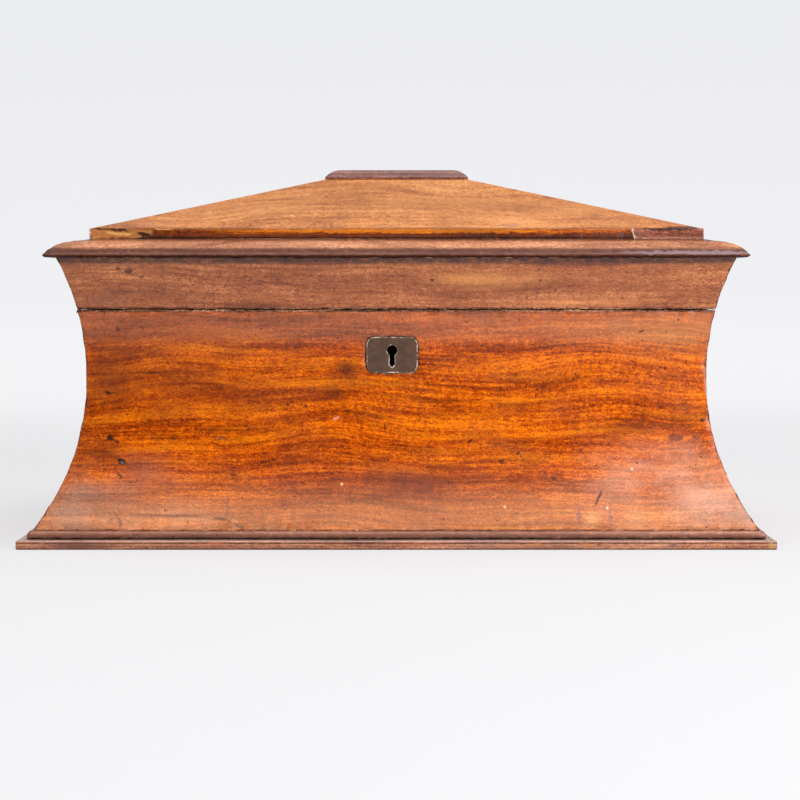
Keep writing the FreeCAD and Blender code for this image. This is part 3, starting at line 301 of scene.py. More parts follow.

# %% [markdown]
# ## The caddy's own boards
#
# The walls are cut from the best figured plank, with its amber flame at the waist. Their colour also holds a
# pale painted sheen near the foot and under the lid, where the cove reflects the bright tent, and painted shade
# in the crease above the bead. The lid's frame is plainer and redder, with a painted shadow under the thumb
# moulding; the roof's colour is painted paler because it faces the light, and the mouldings are the darkest. The
# front also has its own scars, and broad patches of painted shading: darker to the left and lighter to the
# right, where the light comes from, with a pale painted reflection low on the flaring cove.

# %% Walls and lid frame
WALL_TONES = ("822C00", "C24E00", "E67606")
RAIL_TONES = ("82422A", "AE6238", "CC8654")
FRONT_SPOTS = (
    ((-126.8, 46.6), (2.2, 1.5), -30, "1E1814", 0.92),
    ((-124.0, 45.0), (1.6, 0.9), -20, "1E1814", 0.9),
    ((-121.9, 36.6), (2.6, 1.5), -20, "241C1A", 0.95),
    ((-121.4, 36.0), (1.2, 0.7), -20, "6A6460", 0.8),
    ((-122.1, 30.3), (1.7, 1.0), -40, "3A2E28", 0.85),
    ((-116.7, 27.8), (2.4, 0.4), 0, "3A1E14", 0.8),
    ((-128.6, 66.6), (1.7, 0.9), -35, "241A16", 0.9),
    ((-123.5, 95.0), (1.1, 1.4), 20, "4A2A30", 0.7),
    ((-112.8, 95.3), (0.5, 1.6), 25, "3A2428", 0.75),
    ((-78.4, 46.5), (1.4, 0.9), 0, "6A4A3E", 0.8),
    ((-72.2, 30.7), (1.9, 0.5), -8, "3A1A10", 0.75),
    ((-59.1, 36.3), (1.7, 0.5), 5, "3A1A10", 0.7),
    ((32.6, 45.2), (1.8, 0.8), 35, "2E140A", 0.8),
    ((46.6, 36.5), (1.6, 0.8), 0, "2E140A", 0.75),
    ((-5.1, 51.0), (0.5, 2.8), 0, "4A1E0C", 0.7),
    ((88.8, 20.8), (0.7, 5.2), -28, "4A2A22", 0.8),
    ((-100.7, 13.8), (22.5, 0.8), -1, "6A4238", 0.55),
    ((-75.6, 12.1), (5.6, 0.85), -17, "5E3832", 0.7),
    ((-68.0, 9.0), (5.2, 0.85), -26, "5E3832", 0.7),
    ((-120.7, 11.0), (4.0, 0.7), -60, "6A4840", 0.5),
    ((-88.0, 12.0), (10.0, 0.6), -2, "E0AC80", 0.35),
    ((-26.8, 55.4), (2.4, 0.7), 25, "E8A080", 0.7),
    ((-110.0, 75.4), (9.0, 0.6), 0, "5A240C", 0.8),
    ((-126.0, 66.5), (6.0, 0.4), 0, "4A1A08", 0.6),
    ((-49.0, 18.5), (4.6, 3.4), 0, "7A3A2C", 0.6),
    ((-74.0, 18.0), (1.2, 5.4), 0, "8A5248", 0.5),
    ((-24.0, 26.8), (1.0, 0.7), 0, "F0C0A0", 0.8),
    ((47.6, 17.2), (0.9, 0.7), 0, "F0C0A0", 0.8),
    ((-22.5, 77.0), (9.0, 8.0), 0, "4A1C08", 0.8),
    ((-27.0, 66.0), (7.0, 5.0), 0, "5A240A", 0.7),
    ((-112.0, 84.0), (17.0, 4.2), 0, "4A1A08", 0.8),
    ((-58.0, 79.0), (6.0, 4.4), 0, "5A2206", 0.6),
    ((110.0, 34.0), (8.0, 5.0), 0, "8A4A4A", 0.5),
    ((-118.0, 30.0), (40.0, 14.0), 0, "9C5A44", 0.5),
    # Broad pale pink patches low on the front: painted reflection of the bright tent on the cove, which flares
    # up there.
    ((-100.0, 12.0), (50.0, 12.0), 0, "CC9070", 0.6),
    ((-138.0, 12.0), (36.0, 26.0), 0, "A47E6C", 0.75),
    ((144.0, 14.0), (34.0, 24.0), 0, "C09A8A", 0.65),
    # Darker at the left end: painted shading, as the light comes from the right.
    ((-128.0, 76.0), (20.0, 34.0), 0, "74360E", 0.5),
    ((53.8, 40.0), (1.1, 0.9), 0, "4A2A1A", 0.8),
    ((69.6, 29.3), (1.2, 0.9), 0, "4A2A22", 0.8),
    ((104.3, 33.2), (0.6, 0.9), 0, "F6DCC8", 0.9),
    ((92.5, 17.0), (0.5, 0.8), 15, "F6DCC8", 0.9),
    ((108.5, 94.0), (1.6, 0.7), 10, "5A3024", 0.8),
    ((94.5, 18.5), (0.5, 4.4), -20, "8A5A44", 0.5),
    # Near black in the keyhole: painted shade inside its passage through the wall.
    ((-1.9, 80.0), (3.0, 8.5), 0, "0A0605", 1.0),
    # Broad painted shading: darker to the left and lighter at the upper right, where the light comes from.
    ((-112.0, 72.0), (70.0, 34.0), 0, "7E2E06", 0.45),
    ((118.0, 92.0), (70.0, 14.0), 0, "DC8E50", 0.45),
    ((-95.0, 84.0), (64.0, 22.0), 0, "7A3204", 0.45),
    ((85.4, 12.0), (5.6, 5.4), 0, "E8A468", 0.7),
    ((105.0, 11.5), (9.0, 4.6), 0, "E8AC78", 0.6),
    ((80.0, 14.0), (1.2, 4.4), 0, "84565A", 0.6),
    ((93.5, 12.0), (1.2, 5.0), 0, "8A5C54", 0.55),
    ((124.0, 47.0), (4.4, 2.4), 0, "5A3034", 0.7),
    ((133.0, 47.0), (2.2, 1.6), 0, "5A3034", 0.6),
    # Broad pale pink patch low on the right: painted reflection of the bright tent on the flaring cove.
    ((128.0, 26.0), (76.0, 28.0), 0, "DC9A7C", 0.75),
    ((-2.0, 26.0), (76.0, 11.0), 0, "7E3A20", 0.8),
    ((-5.0, 12.0), (96.0, 11.0), 0, "A45A30", 0.6),
)
RAIL_SPOTS = (
    ((40.0, 117.0), (42.0, 5.0), 0, "D68C4C", 0.7),
    ((80.0, 106.5), (40.0, 3.2), 0, "D8884C", 0.6),
    ((-117.5, 120.5), (2.4, 1.4), 10, "4A241C", 0.85),
    ((-122.0, 121.6), (1.2, 0.9), 0, "4A241C", 0.8),
    ((-112.0, 118.0), (1.4, 0.7), -20, "4A241C", 0.75),
    ((-128.0, 108.0), (14.0, 5.0), 0, "7A4A3A", 0.4),
    ((-62.4, 111.7), (1.5, 0.6), 0, "6A3E34", 0.75),
    ((-45.0, 110.5), (1.3, 0.4), -5, "5A3024", 0.7),
    ((-32.0, CASE_TOP_MM + 0.6), (6.0, 0.6), 2, "1A0A06", 0.9),
    ((-12.0, CASE_TOP_MM + 0.7), (4.0, 0.8), -3, "1A0A06", 0.9),
    ((15.0, CASE_TOP_MM + 0.3), (5.0, 0.6), 0, "1A0A06", 0.9),
)
wall_levels = (
    # Pale painted sheen under the lid, where the cove tilts down and reflects the bright floor.
    (CASE_TOP_MM - 9, CASE_TOP_MM + 2, 9, "AC6C50", 0.6),
    # Pale painted sheen near the foot, where the cove tilts up and reflects the bright tent.
    (-5, 12, 20, "C4854E", 0.55),
    (CASE_TOP_MM - 0.6, CASE_TOP_MM + 1, 0.4, "5A2A14", 0.35),
    # Darker at the wall's foot: painted shade in the crease above the bead.
    (BEAD_TOP_MM - 2, BEAD_TOP_MM + 0.3, 0.5, "5A3428", 0.5),
)
rail_levels = (
    # Dark band on the rail under the thumb moulding: painted shadow of its overhang.
    (RAIL_TOP_MM - 1.6, RAIL_TOP_MM + 1, 2.4, "3E2622", 0.92),
    (CASE_TOP_MM - 1, CASE_TOP_MM + 1.0, 0.7, "1E0C06", 0.9),
)
wall_front = mahogany("figured_mahogany_front", WALL_TONES, levels=wall_levels, spots=FRONT_SPOTS,
                      flame_share=0.7, shine=0.35, skin_only=True)
wall_back = mahogany("figured_mahogany_back", WALL_TONES, shift=(500, 0, 260), levels=wall_levels,
                     flame_share=0.7, shine=0.35, skin_only=True)
wall_end = mahogany("figured_mahogany_ends", WALL_TONES, turn=90, shift=(300, 90, 40),
                    levels=wall_levels, flame_share=0.7, shine=0.35, skin_only=True)
rail_long = mahogany("frame_mahogany_long", RAIL_TONES, shift=(90, 0, 610), levels=rail_levels,
                     figure=0.7, spots=RAIL_SPOTS, skin_only=True)
rail_end = mahogany("frame_mahogany_ends", RAIL_TONES, turn=90, shift=(0, 70, 820),
                    levels=rail_levels, figure=0.7, skin_only=True)

# %% Roof, mouldings and facings
# The roof's tones are painted paler than the walls': a painted sheen of the bright light that the slopes face.
ROOF_TONES = ("A85426", "E2904E", "F4AC6A")
MOULDING_TONES = ("8E4C34", "D08A62", "F2B088")
PLINTH_TONES = ("6A3220", "B0704E", "D89A78")
CAP_TONES = ("4A241E", "7A4438", "9E6C5E")
FACING_TONES = ("4A1802", "963F04", "C86610")
moulding_levels = (
    # Darker nose of the thumb moulding: partly dirt, partly painted shade on its downward-facing curve.
    (RAIL_TOP_MM - 1, RAIL_TOP_MM + 3.2, 1.6, "4A2018", 0.92),
    # Pale painted highlight along the nose.
    (RAIL_TOP_MM + 1.4, RAIL_TOP_MM + 1.7, 0.4, "9A6C60", 0.4),
    # Near black under the nose: painted shade in the crease over the rail.
    (RAIL_TOP_MM - 1, RAIL_TOP_MM + 0.5, 0.5, "2A100E", 0.9),
    (EAVES_LOW_MM - 0.6, EAVES_LOW_MM + 1, 0.6, "5A2A1C", 0.7),
)
bead_levels = (
    # Darker lower half of the bead: painted shade under its rounding, with some dirt in the corner.
    (BASE_TOP_MM - 0.4, BASE_TOP_MM + 1.5, 1.6, "4A2E26", 0.9),
    # Near black line at the bead's foot, along its joint with the board: painted shadow under the bead.
    (BASE_TOP_MM - 0.4, BASE_TOP_MM + 0.5, 0.5, "120806", 0.97),
    (BASE_TOP_MM + 1.5, BEAD_TOP_MM + 1, 0.5, "8A5A4A", 0.6),
)
plinth_levels = (
    # Pale ledge on the board's top: partly dust, partly painted light on the up-facing ledge.
    (BASE_TOP_MM - 0.25, BASE_TOP_MM + 1, 0.2, "C4ACA2", 0.65),
    # A dark line and a pale line below the top arris: painted shade and painted highlight of a rounded edge.
    (BASE_TOP_MM - 1.1, BASE_TOP_MM - 0.8, 0.3, "4A1C14", 0.8),
    (BASE_TOP_MM - 1.7, BASE_TOP_MM - 1.6, 0.2, "D09A84", 0.6),
    # Darker at the foot: painted shadow along the floor.
    (-1, 0.5, 0.6, "4A2A20", 0.75),
)
PLINTH_SPOTS = (
    ((59.5, 2.4), (6.0, 1.0), 0, "D07A2C", 0.6),
    ((85.0, 2.4), (9.0, 1.0), 0, "CC7A34", 0.6),
    ((87.5, 2.2), (2.2, 1.3), 0, "3A2A2C", 0.7),
    ((120.0, 2.2), (4.4, 1.3), 0, "4A3A44", 0.7),
    ((139.0, 2.4), (5.0, 1.0), 0, "C87A3C", 0.6),
    ((162.5, 2.0), (3.0, 2.6), 0, "C89A5C", 0.7),
    ((-82.0, 2.6), (16.0, 0.7), 0, "D0623A", 0.65),
    ((10.0, 2.4), (26.0, 0.8), 0, "A8482A", 0.6),
    ((-140.0, 2.2), (30.0, 2.9), 0, "5A342E", 0.75),
    ((30.0, 1.6), (12.0, 0.8), 0, "5A3430", 0.6),
)
cap_levels = (
    (CAP_LOW_MM - 1, CAP_LOW_MM + 0.7, 0.5, "3A221E", 0.8),
    (CAP_TOP_MM - 1.4, CAP_TOP_MM + 1, 0.6, "C09890", 0.4),
)
facing_levels = (
    (EAVES_LOW_MM - 1, EAVES_LOW_MM + 1.6, 1.2, "5E2408", 0.8),
    (EAVES_LOW_MM - 1, EAVES_LOW_MM + 0.6, 0.4, "140804", 0.97),
    # Pale painted highlight along the facing's top arris.
    (EAVES_TOP_MM - 0.3, EAVES_TOP_MM + 1, 0.4, "DE9250", 0.6),
)
roof_levels = (
    (CAP_LOW_MM - 9, CAP_LOW_MM + 2, 8, "AA6838", 0.35),
    (EAVES_TOP_MM - 0.2, EAVES_TOP_MM + 0.3, 0.4, "7A3A1A", 0.5),
)
ROOF_SPOTS = (
    ((-124.0, 137.2), (26.0, 2.9), 0, "BC7C46", 0.8),
    ((-123.5, 137.3), (8.5, 1.0), -4, "F2B868", 0.9),
    ((-133.0, 138.2), (2.6, 0.5), -10, "C89468", 0.8),
    ((-124.0, 134.9), (13.0, 0.7), 0, "6A3226", 0.8),
    ((-126.0, EAVES_TOP_MM - 0.6), (10.5, 0.5), -4, "2E1A14", 0.92),
    # Dark hollow at the left break: painted shade in a hollow.
    ((-112.2, 136.9), (4.4, 1.1), -10, "2A1812", 0.92),
    ((-111.5, 135.3), (3.0, 0.35), 14, "F0B89A", 0.8),
    ((-118.0, EAVES_TOP_MM + 2.4), (26.0, 4.0), 0, "A46A52", 0.8),
    ((126.0, EAVES_TOP_MM + 0.2), (11.5, 0.7), 0, "3A2018", 0.85),
    ((50.0, EAVES_TOP_MM + 1.6), (7.0, 1.2), 0, "A87868", 0.6),
    ((110.0, 148.0), (46.0, 14.0), 0, "B87848", 0.4),
)
FACING_PAINTED_HIGHLIGHTS = (
    # Both are painted highlights: a bright line on the facing's top edge near the left break, and a brighter
    # amber band along the facing's upper half.
    ((-104.0, 139.3), (6.0, 0.5), 0, "F2B468", 0.8),
    ((0.0, 138.4), (100.0, 1.2), 0, "E4801A", 0.8),
)
MOULDING_PAINTED_LIGHT = (
    # All three are painted light: painted shade at the thumb's two ends and a pale bluish painted highlight
    # along the nose at the right.
    ((-152.0, 131.0), (16.0, 8.0), 0, "5E3E3A", 0.7),
    ((128.0, RAIL_TOP_MM + 2.0), (38.0, 1.0), 0, "A8949C", 0.45),
    ((158.0, RAIL_TOP_MM + 2.0), (5.0, 4.0), 0, "3A2420", 0.7),
)
roof_long = mahogany("roof_mahogany_long", ROOF_TONES, shift=(40, 200, 500), levels=roof_levels, figure=0.7,
                     spots=ROOF_SPOTS)
roof_end = mahogany("roof_mahogany_ends", ROOF_TONES, turn=90, shift=(0, 0, 700), levels=roof_levels, figure=0.7)
moulding_long = mahogany("moulding_mahogany_long", MOULDING_TONES, shift=(600, 0, 90), skin="7A4A3E",
                         skin_share=0.4, levels=moulding_levels, spots=MOULDING_PAINTED_LIGHT,
                         figure=0.6, shine=0.15, whole=0.8)
moulding_end = mahogany("moulding_mahogany_ends", MOULDING_TONES, turn=90, shift=(0, 800, 30), skin="7A4A3E",
                        skin_share=0.4, levels=moulding_levels, figure=0.6, shine=0.15, whole=0.8)
cap_wood = mahogany("cap_mahogany", CAP_TONES, shift=(660, 0, 290), skin="6E4A44", skin_share=0.5,
                    levels=cap_levels, figure=0.7)
bead_long = mahogany("bead_mahogany_long", PLINTH_TONES, shift=(350, 0, 190), skin="6A4640",
                     skin_share=0.4, levels=bead_levels, figure=0.6)
bead_end = mahogany("bead_mahogany_ends", PLINTH_TONES, turn=90, shift=(0, 450, 130), skin="6A4640",
                    skin_share=0.4, levels=bead_levels, figure=0.6)
plinth_wood = mahogany("plinth_mahogany", PLINTH_TONES, shift=(750, 0, 190), skin="6A4640",
                         skin_share=0.4, levels=plinth_levels, spots=PLINTH_SPOTS, figure=0.6)
facing_long = mahogany("facing_mahogany_long", FACING_TONES, shift=(50, 0, 333), roughness=0.25,
                       skin_share=0.15, levels=facing_levels, spots=FACING_PAINTED_HIGHLIGHTS, coat=0.8)
facing_end = mahogany("facing_mahogany_ends", FACING_TONES, turn=90, shift=(0, 50, 444), roughness=0.25,
                      skin_share=0.15, levels=facing_levels, coat=0.8)
REPAIR_SPOTS = (
    ((105.3, 137.0), (0.45, 3.4), 20, "E0C4A4", 0.95),
    ((108.0, 137.0), (1.8, 2.6), 20, "8A6A5A", 0.6),
    ((120.0, EAVES_TOP_MM - 0.3), (17.0, 0.8), 0, "3A201A", 0.9),
    ((118.0, 138.0), (11.0, 0.35), 0, "5A2A22", 0.8),
    ((124.0, 136.6), (10.0, 0.3), -1, "5A2A22", 0.7),
    ((135.3, 137.0), (0.3, 2.0), 0, "2A1612", 0.8),
    ((134.0, 136.6), (0.25, 1.6), 0, "2A1612", 0.7),
)
repair_levels = ((EAVES_LOW_MM - 1, EAVES_LOW_MM + 0.5, 0.4, "D8A088", 0.7),)
facing_repair = mahogany("facing_repair", ("6A3226", "A05A46", "C88470"), shift=(150, 0, 222),
                         levels=repair_levels, spots=REPAIR_SPOTS, figure=0.8)
worn_arris = mahogany("worn_arris", ("3A1A0E", "9E6242", "E0A880"), shift=(20, 30, 40), skin="3A1A10",
                      skin_share=0.8, figure=1.2, roughness=0.35)
inner_wood = mahogany("bare_inner_mahogany", ("8A4A26", "B87848", "D69A68"), shift=(10, 10, 900), figure=0.6,
                      roughness=0.5, skin_share=0.1, speck_share=0.3)
canister_wood = mahogany("canister_mahogany", ("7A3414", "B05A26", "D4843C"), turn=90, shift=(70, 40, 960),
                         figure=0.7, skin_share=0.2)
print("wood finishes:", len(bpy.data.materials))

# %% [markdown]
# ## Metal, glass, bone and velvet
#
# The escutcheon is brass that has gone brown: a thin oxide covers it, and its flat rim is painted near white,
# rubbed brass with a painted highlight of its rounded edges. The lock is dull wrought steel, the hinges are aged
# brass, the canisters are lined with crinkled tin foil, and their knobs are turned bone. The lid is closed by a
# board in worn green velvet, whose nap lights up at its rim, and the bowl is plain clear glass with a breath of
# green.

# %% Metals
def old_metal(name, clean, tarnish, share, roughness, grit=(2.0, 2.0, 2.0), metallic=1.0, painted_shade_below=-10.0):
    """A metal with patches of tarnish that are rougher and darker, and a painted shade, near black, below a
    height in millimetres.
    """
    material, tree = new_material(name)
    place = board_coordinates(tree)
    cloud = grain(tree, place, (6, 6, 6), detail=4.0, roughness=0.65)
    fine = grain(tree, place, grit, detail=3.0, roughness=0.7)
    both = add(tree, "Math", (cloud, fine), operation="ADD")
    patch = add(tree, "MapRange", (both, 1.25 - share, 1.45 - share, 0.0, 1.0))
    colour = add(tree, "Mix", {0: patch, 6: linear(clean), 7: linear(tarnish)}, out=2, data_type="RGBA")
    height = add(tree, "SeparateXYZ", (place,), out=2)
    painted_shade_mask = add(tree, "MapRange", (height, painted_shade_below, painted_shade_below + 1.5, 1.0, 0.0))
    colour = add(tree, "Mix", {0: painted_shade_mask, 6: colour, 7: linear("1C1816")}, out=2, data_type="RGBA")
    rough = add(tree, "MapRange", (patch, 0.0, 1.0, roughness, roughness + 0.25))
    uneven = add(tree, "Bump", {"Height": both, "Strength": 0.2, "Distance": 0.1 * MM})
    shader = add(tree, "BsdfPrincipled", {
        "Base Color": colour,
        "Metallic": metallic,
        "Roughness": rough,
        "Normal": uneven,
    })
    add(tree, "OutputMaterial", {"Surface": shader})
    return material


plate_brass = old_metal("darkened_brass", "6A4E3E", "5C4638", 0.35, 0.48, metallic=0.6)
# The escutcheon's rim: rubbed brass with a painted highlight, nearly white and mostly diffuse, so it reads
# bright under any light.
rim_brass_painted_highlight = old_metal("rubbed_brass_painted_highlight", "F6E8D4", "6A5444", 0.42, 0.42, grit=(1.2, 1.2, 1.2), metallic=0.25)
# The lock plate is painted near black below a height just under the wall's top: painted shade on the part that
# sits down in the wall.
lock_brass = old_metal("lock_brass", "B88E4E", "5E4830", 0.3, 0.36, painted_shade_below=CASE_TOP_MM - 6)
hinge_brass = old_metal("aged_brass", "C89A4E", "6A5030", 0.3, 0.34)
lock_steel = old_metal("wrought_steel", "9A9892", "5A4A40", 0.3, 0.38)
screw_steel = old_metal("steel_screws", "8A8884", "4A403A", 0.4, 0.40)
black_iron = old_metal("blackened_iron", "3A3432", "1A1614", 0.4, 0.50)
tin_foil = old_metal("crinkled_tin_foil", "D8D8D2", "9A9A92", 0.2, 0.40, grit=(1.2, 1.2, 1.2),
                     metallic=0.7)

# %% Bone, velvet and glass
bone, tree = new_material("turned_bone")
place = board_coordinates(tree)
rings = grain(tree, place, (6, 6, 0.5), detail=2.0)
warm = grain(tree, place, (4, 4, 4), detail=2.0)
both = add(tree, "Math", (rings, warm), operation="ADD")
shade = add(tree, "MapRange", (both, 0.8, 1.25, 0.0, 1.0))
colour = add(tree, "Mix", {0: shade, 6: linear("EFE4C8"), 7: linear("C8AE82")}, out=2, data_type="RGBA")
shader = add(tree, "BsdfPrincipled", {"Base Color": colour, "Roughness": 0.3, "IOR": 1.54})
add(tree, "OutputMaterial", {"Surface": shader})

velvet, tree = new_material("worn_velvet")
place = board_coordinates(tree)
nap = grain(tree, place, (14, 14, 14), detail=4.0, roughness=0.6)
pile = grain(tree, place, (0.5, 0.5, 0.5), detail=1.0)
both = add(tree, "Math", (nap, pile), operation="ADD")
shade = add(tree, "MapRange", (both, 0.75, 1.3, 0.0, 1.0))
colour = add(tree, "Mix", {0: shade, 6: linear("16301F"), 7: linear("3E6048")}, out=2, data_type="RGBA")
uneven = add(tree, "Bump", {"Height": pile, "Strength": 0.6, "Distance": 0.3 * MM})
shader = add(tree, "BsdfPrincipled", {
    "Base Color": colour,
    "Roughness": 0.9,
    "Sheen Weight": 0.5,
    "Sheen Roughness": 0.4,
    "Normal": uneven,
})
add(tree, "OutputMaterial", {"Surface": shader})

glass, tree = new_material("clear_glass")
place = board_coordinates(tree)
seeds = grain(tree, place, (9, 9, 9), detail=2.0)
haze = add(tree, "MapRange", (seeds, 0.4, 0.8, 0.02, 0.10))
shader = add(tree, "BsdfPrincipled", {
    "Base Color": linear("EAF6F0"),
    "Roughness": haze,
    "IOR": 1.5,
    "Transmission Weight": 0.95,
})
add(tree, "OutputMaterial", {"Surface": shader})
print("all finishes:", len(bpy.data.materials))

# %% Dress the nodes
FINISHES = (
    ("case_front", wall_front), ("case_back", wall_back), ("case_left", wall_end), ("case_right", wall_end),
    ("lid_front_rail", rail_long), ("lid_back_rail", rail_long), ("lid_left_rail", rail_end),
    ("lid_right_rail", rail_end), ("roof_front", roof_long), ("roof_back", roof_long), ("roof_left", roof_end),
    ("roof_right", roof_end), ("eaves_facing_front", facing_long), ("eaves_facing_back", facing_long),
    ("eaves_facing_left", facing_end), ("eaves_facing_right", facing_end),
    ("eaves_facing_repair", facing_repair), ("thumb_moulding_front", moulding_long),
    ("thumb_moulding_back", moulding_long), ("thumb_moulding_left", moulding_end),
    ("thumb_moulding_right", moulding_end), ("bead_front", bead_long), ("bead_back", bead_long),
    ("bead_left", bead_end), ("bead_right", bead_end), ("base_board", plinth_wood),
    ("lid_cap", cap_wood), ("lid_lining", velvet), ("escutcheon", plate_brass),
    ("mixing_bowl", glass), ("lock_bolt", lock_steel), ("lock_spring", lock_steel), ("lock_case", black_iron),
)
BY_PREFIX = (
    ("canister_foil", tin_foil), ("canister_knob", bone), ("canister_pivots", hinge_brass),
    ("canister", canister_wood), ("partition", inner_wood), ("well_board", inner_wood),
    ("bottom_board", inner_wood), ("lock_screws", screw_steel), ("link_screws", screw_steel),
    ("hinge", hinge_brass), ("lock_plate", lock_brass), ("link_plate", hinge_brass),
)


def finish_of(node):
    """The material that belongs on a CAD node."""
    for name, material in FINISHES + BY_PREFIX:
        if node == name or (node.startswith(name) and (name, material) in BY_PREFIX):
            return material
    return None


for name, node in nodes.items():
    if not node.material_slots:
        node.data.materials.append(None)
    for slot in node.material_slots:
        slot.material = finish_of(name)
print("nodes without a finish:", [n for n in nodes if finish_of(n) is None])

# %% [markdown]
# ## Worn edges
#
# On the real caddy no arris is sharp: each is rubbed round, and here and there a chip has gone. A CAD
# node is never changed, so each wooden piece whose edges show is copied and the copy stands for it. The
# copy is merged, cut across at even steps so that an edge can wander, and only the arrises of its outer
# skin are bevelled. The bevel gets a paler, rubbed finish, and a noise pushes it in by fractions of a
# millimetre. The inside faces, the grooves and the seats stay as they are.

# %% Helpers for worn pieces
SHARP = math.radians(35)
DEEPEST_INSET = 30 * MM


def use_only(piece):
    """Selects one piece and makes it the active one."""
    bpy.ops.object.select_all(action="DESELECT")
    piece.select_set(True)
    bpy.context.view_layer.objects.active = piece


def merged_copy(node, name, materials):
    """A copy of a CAD node as one closed mesh, its flat faces whole again."""
    piece = bpy.data.objects.new(name, nodes[node].data.copy())
    bpy.context.scene.collection.objects.link(piece)
    piece.data.materials.clear()
    for material in materials:
        piece.data.materials.append(material)
    use_only(piece)
    bpy.ops.mesh.customdata_custom_splitnormals_clear()
    bpy.ops.object.mode_set(mode="EDIT")
    bpy.ops.mesh.select_all(action="SELECT")
    bpy.ops.mesh.remove_doubles(threshold=0.002 * MM)
    bpy.ops.mesh.dissolve_limited(angle_limit=math.radians(0.3))
    bpy.ops.object.mode_set(mode="OBJECT")
    return piece


def cut_across(piece, axis, step):
    """Cuts a piece by planes square to an axis, at even steps."""
    places = [v.co[axis] for v in piece.data.vertices]
    low, high = min(places), max(places)
    square = [float(i == axis) for i in range(3)]
    use_only(piece)
    bpy.ops.object.mode_set(mode="EDIT")
    for cut in range(1, int((high - low) / step)):
        at = [(low + step * cut) * s for s in square]
        bpy.ops.mesh.select_all(action="SELECT")
        bpy.ops.mesh.bisect(plane_co=at, plane_no=square)
    bpy.ops.object.mode_set(mode="OBJECT")


def skin_test(piece, axis, side):
    """A test for points on the outer skin of a wall or moulding, which faces one way."""
    least = (HALF_X if axis == 0 else HALF_Y) - DEEPEST_INSET
    skin = {}
    for vertex in piece.data.vertices:
        key = round(vertex.co.z, 5)
        skin[key] = max(skin.get(key, least), vertex.co[axis] * side)
    return lambda p: p[axis] * side > skin.get(round(p.z, 5), 1.0) - 0.02 * MM


def pick_arrises(piece, is_wanted):
    """Selects the sharp edges whose two ends pass a test."""
    mesh = piece.data
    for part in (mesh.vertices, mesh.edges, mesh.polygons):
        part.foreach_set("select", [False] * len(part))
    beside = {}
    for face in mesh.polygons:
        for key in face.edge_keys:
            beside.setdefault(key, []).append(face.normal)
    for edge in mesh.edges:
        normals = beside.get(tuple(sorted(edge.vertices)), [])
        sharp = len(normals) == 2 and normals[0].angle(normals[1], 0.0) > SHARP
        edge.select = sharp and all(is_wanted(mesh.vertices[i].co) for i in edge.vertices)


def rub_edges(piece, width, chip, chip_size):
    """Bevels the picked arrises, gives the bevel the second finish and wears it with noise."""
    use_only(piece)
    bpy.ops.object.mode_set(mode="EDIT")
    bpy.ops.mesh.select_mode(type="EDGE")
    bpy.ops.mesh.bevel(offset=width, segments=2, affect="EDGES")
    piece.active_material_index = 1
    bpy.ops.object.material_slot_assign()
    bpy.ops.object.vertex_group_add()
    bpy.ops.object.vertex_group_assign()
    bpy.ops.object.mode_set(mode="OBJECT")
    noise = bpy.data.textures.new(piece.name + "_wear", "CLOUDS")
    noise.noise_scale = chip_size
    noise.noise_depth = 2
    noise.contrast = 2.5
    wear = piece.modifiers.new("wear", "DISPLACE")
    wear.texture = noise
    wear.texture_coords = "LOCAL"
    wear.vertex_group = piece.vertex_groups[0].name
    wear.mid_level = 0.3
    wear.strength = -chip
    bpy.ops.object.modifier_apply(modifier=wear.name)
    bpy.ops.object.shade_smooth_by_angle(angle=SHARP)


def stands_for(piece, node, body):
    """The copy takes the CAD node's place and body, and the node is hidden."""
    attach(piece, body)
    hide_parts(node)


def worn_piece(node, body, axis, side, width, chip, step=2.5 * MM, chip_size=4 * MM, rubbed=None):
    """A rubbed copy of a CAD piece, in its place."""
    piece = merged_copy(node, node + "_worn", (finish_of(node), rubbed or worn_arris))
    cut_across(piece, 1 - axis, step)
    pick_arrises(piece, skin_test(piece, axis, side))
    rub_edges(piece, width, chip, chip_size)
    stands_for(piece, node, body)
    return piece

# %% [markdown]
# ## Walls, lid frame, mouldings and facings
#
# All four sides are rubbed alike. The lid's end rails settle a little at the back, where the hinges
# carry them, so the thin joint closes there and no light shows through it from the front.

# %% Walls, lid frame, mouldings and facings
SETTLING = 0.42 * MM


def settle_back(piece):
    """Lowers the back half of an end rail's underside."""
    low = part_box("lid_left_rail")[0].z
    mesh = piece.data
    for part in (mesh.vertices, mesh.edges, mesh.polygons):
        part.foreach_set("select", [False] * len(part))
    for vertex in mesh.vertices:
        vertex.select = vertex.co.z < low + 0.25 * MM and vertex.co.y > 0.2 * HALF_Y
    use_only(piece)
    bpy.ops.object.mode_set(mode="EDIT")
    bpy.ops.mesh.select_mode(type="VERT")
    bpy.ops.transform.translate(value=(0, 0, -SETTLING))
    bpy.ops.object.mode_set(mode="OBJECT")


SIDES = (("front", 1, -1), ("back", 1, 1), ("left", 0, -1), ("right", 0, 1))
for side_name, axis, side in SIDES:
    worn_piece("case_" + side_name, "case", axis, side, 0.35 * MM, 0.9 * MM, 1.8 * MM, 3 * MM)
    rail = worn_piece("lid_" + side_name + "_rail", "lid", axis, side, 0.3 * MM, 0.6 * MM,
                      1.8 * MM, 3 * MM)
    if axis == 0:
        settle_back(rail)
    thumb = "thumb_moulding_" + side_name
    worn_piece(thumb, "lid", axis, side, 0.5 * MM, 0.4 * MM, rubbed=finish_of(thumb))
    bead = "bead_" + side_name
    worn_piece(bead, "case", axis, side, 0.5 * MM, 0.6 * MM, rubbed=finish_of(bead))
    worn_piece("eaves_facing_" + side_name, "lid", axis, side, 0.2 * MM, 0.25 * MM, 1.5 * MM, 2 * MM)
worn_piece("eaves_facing_repair", "lid", 1, -1, 0.15 * MM, 0.3 * MM, 1.0 * MM, 1.5 * MM,
           rubbed=facing_repair)

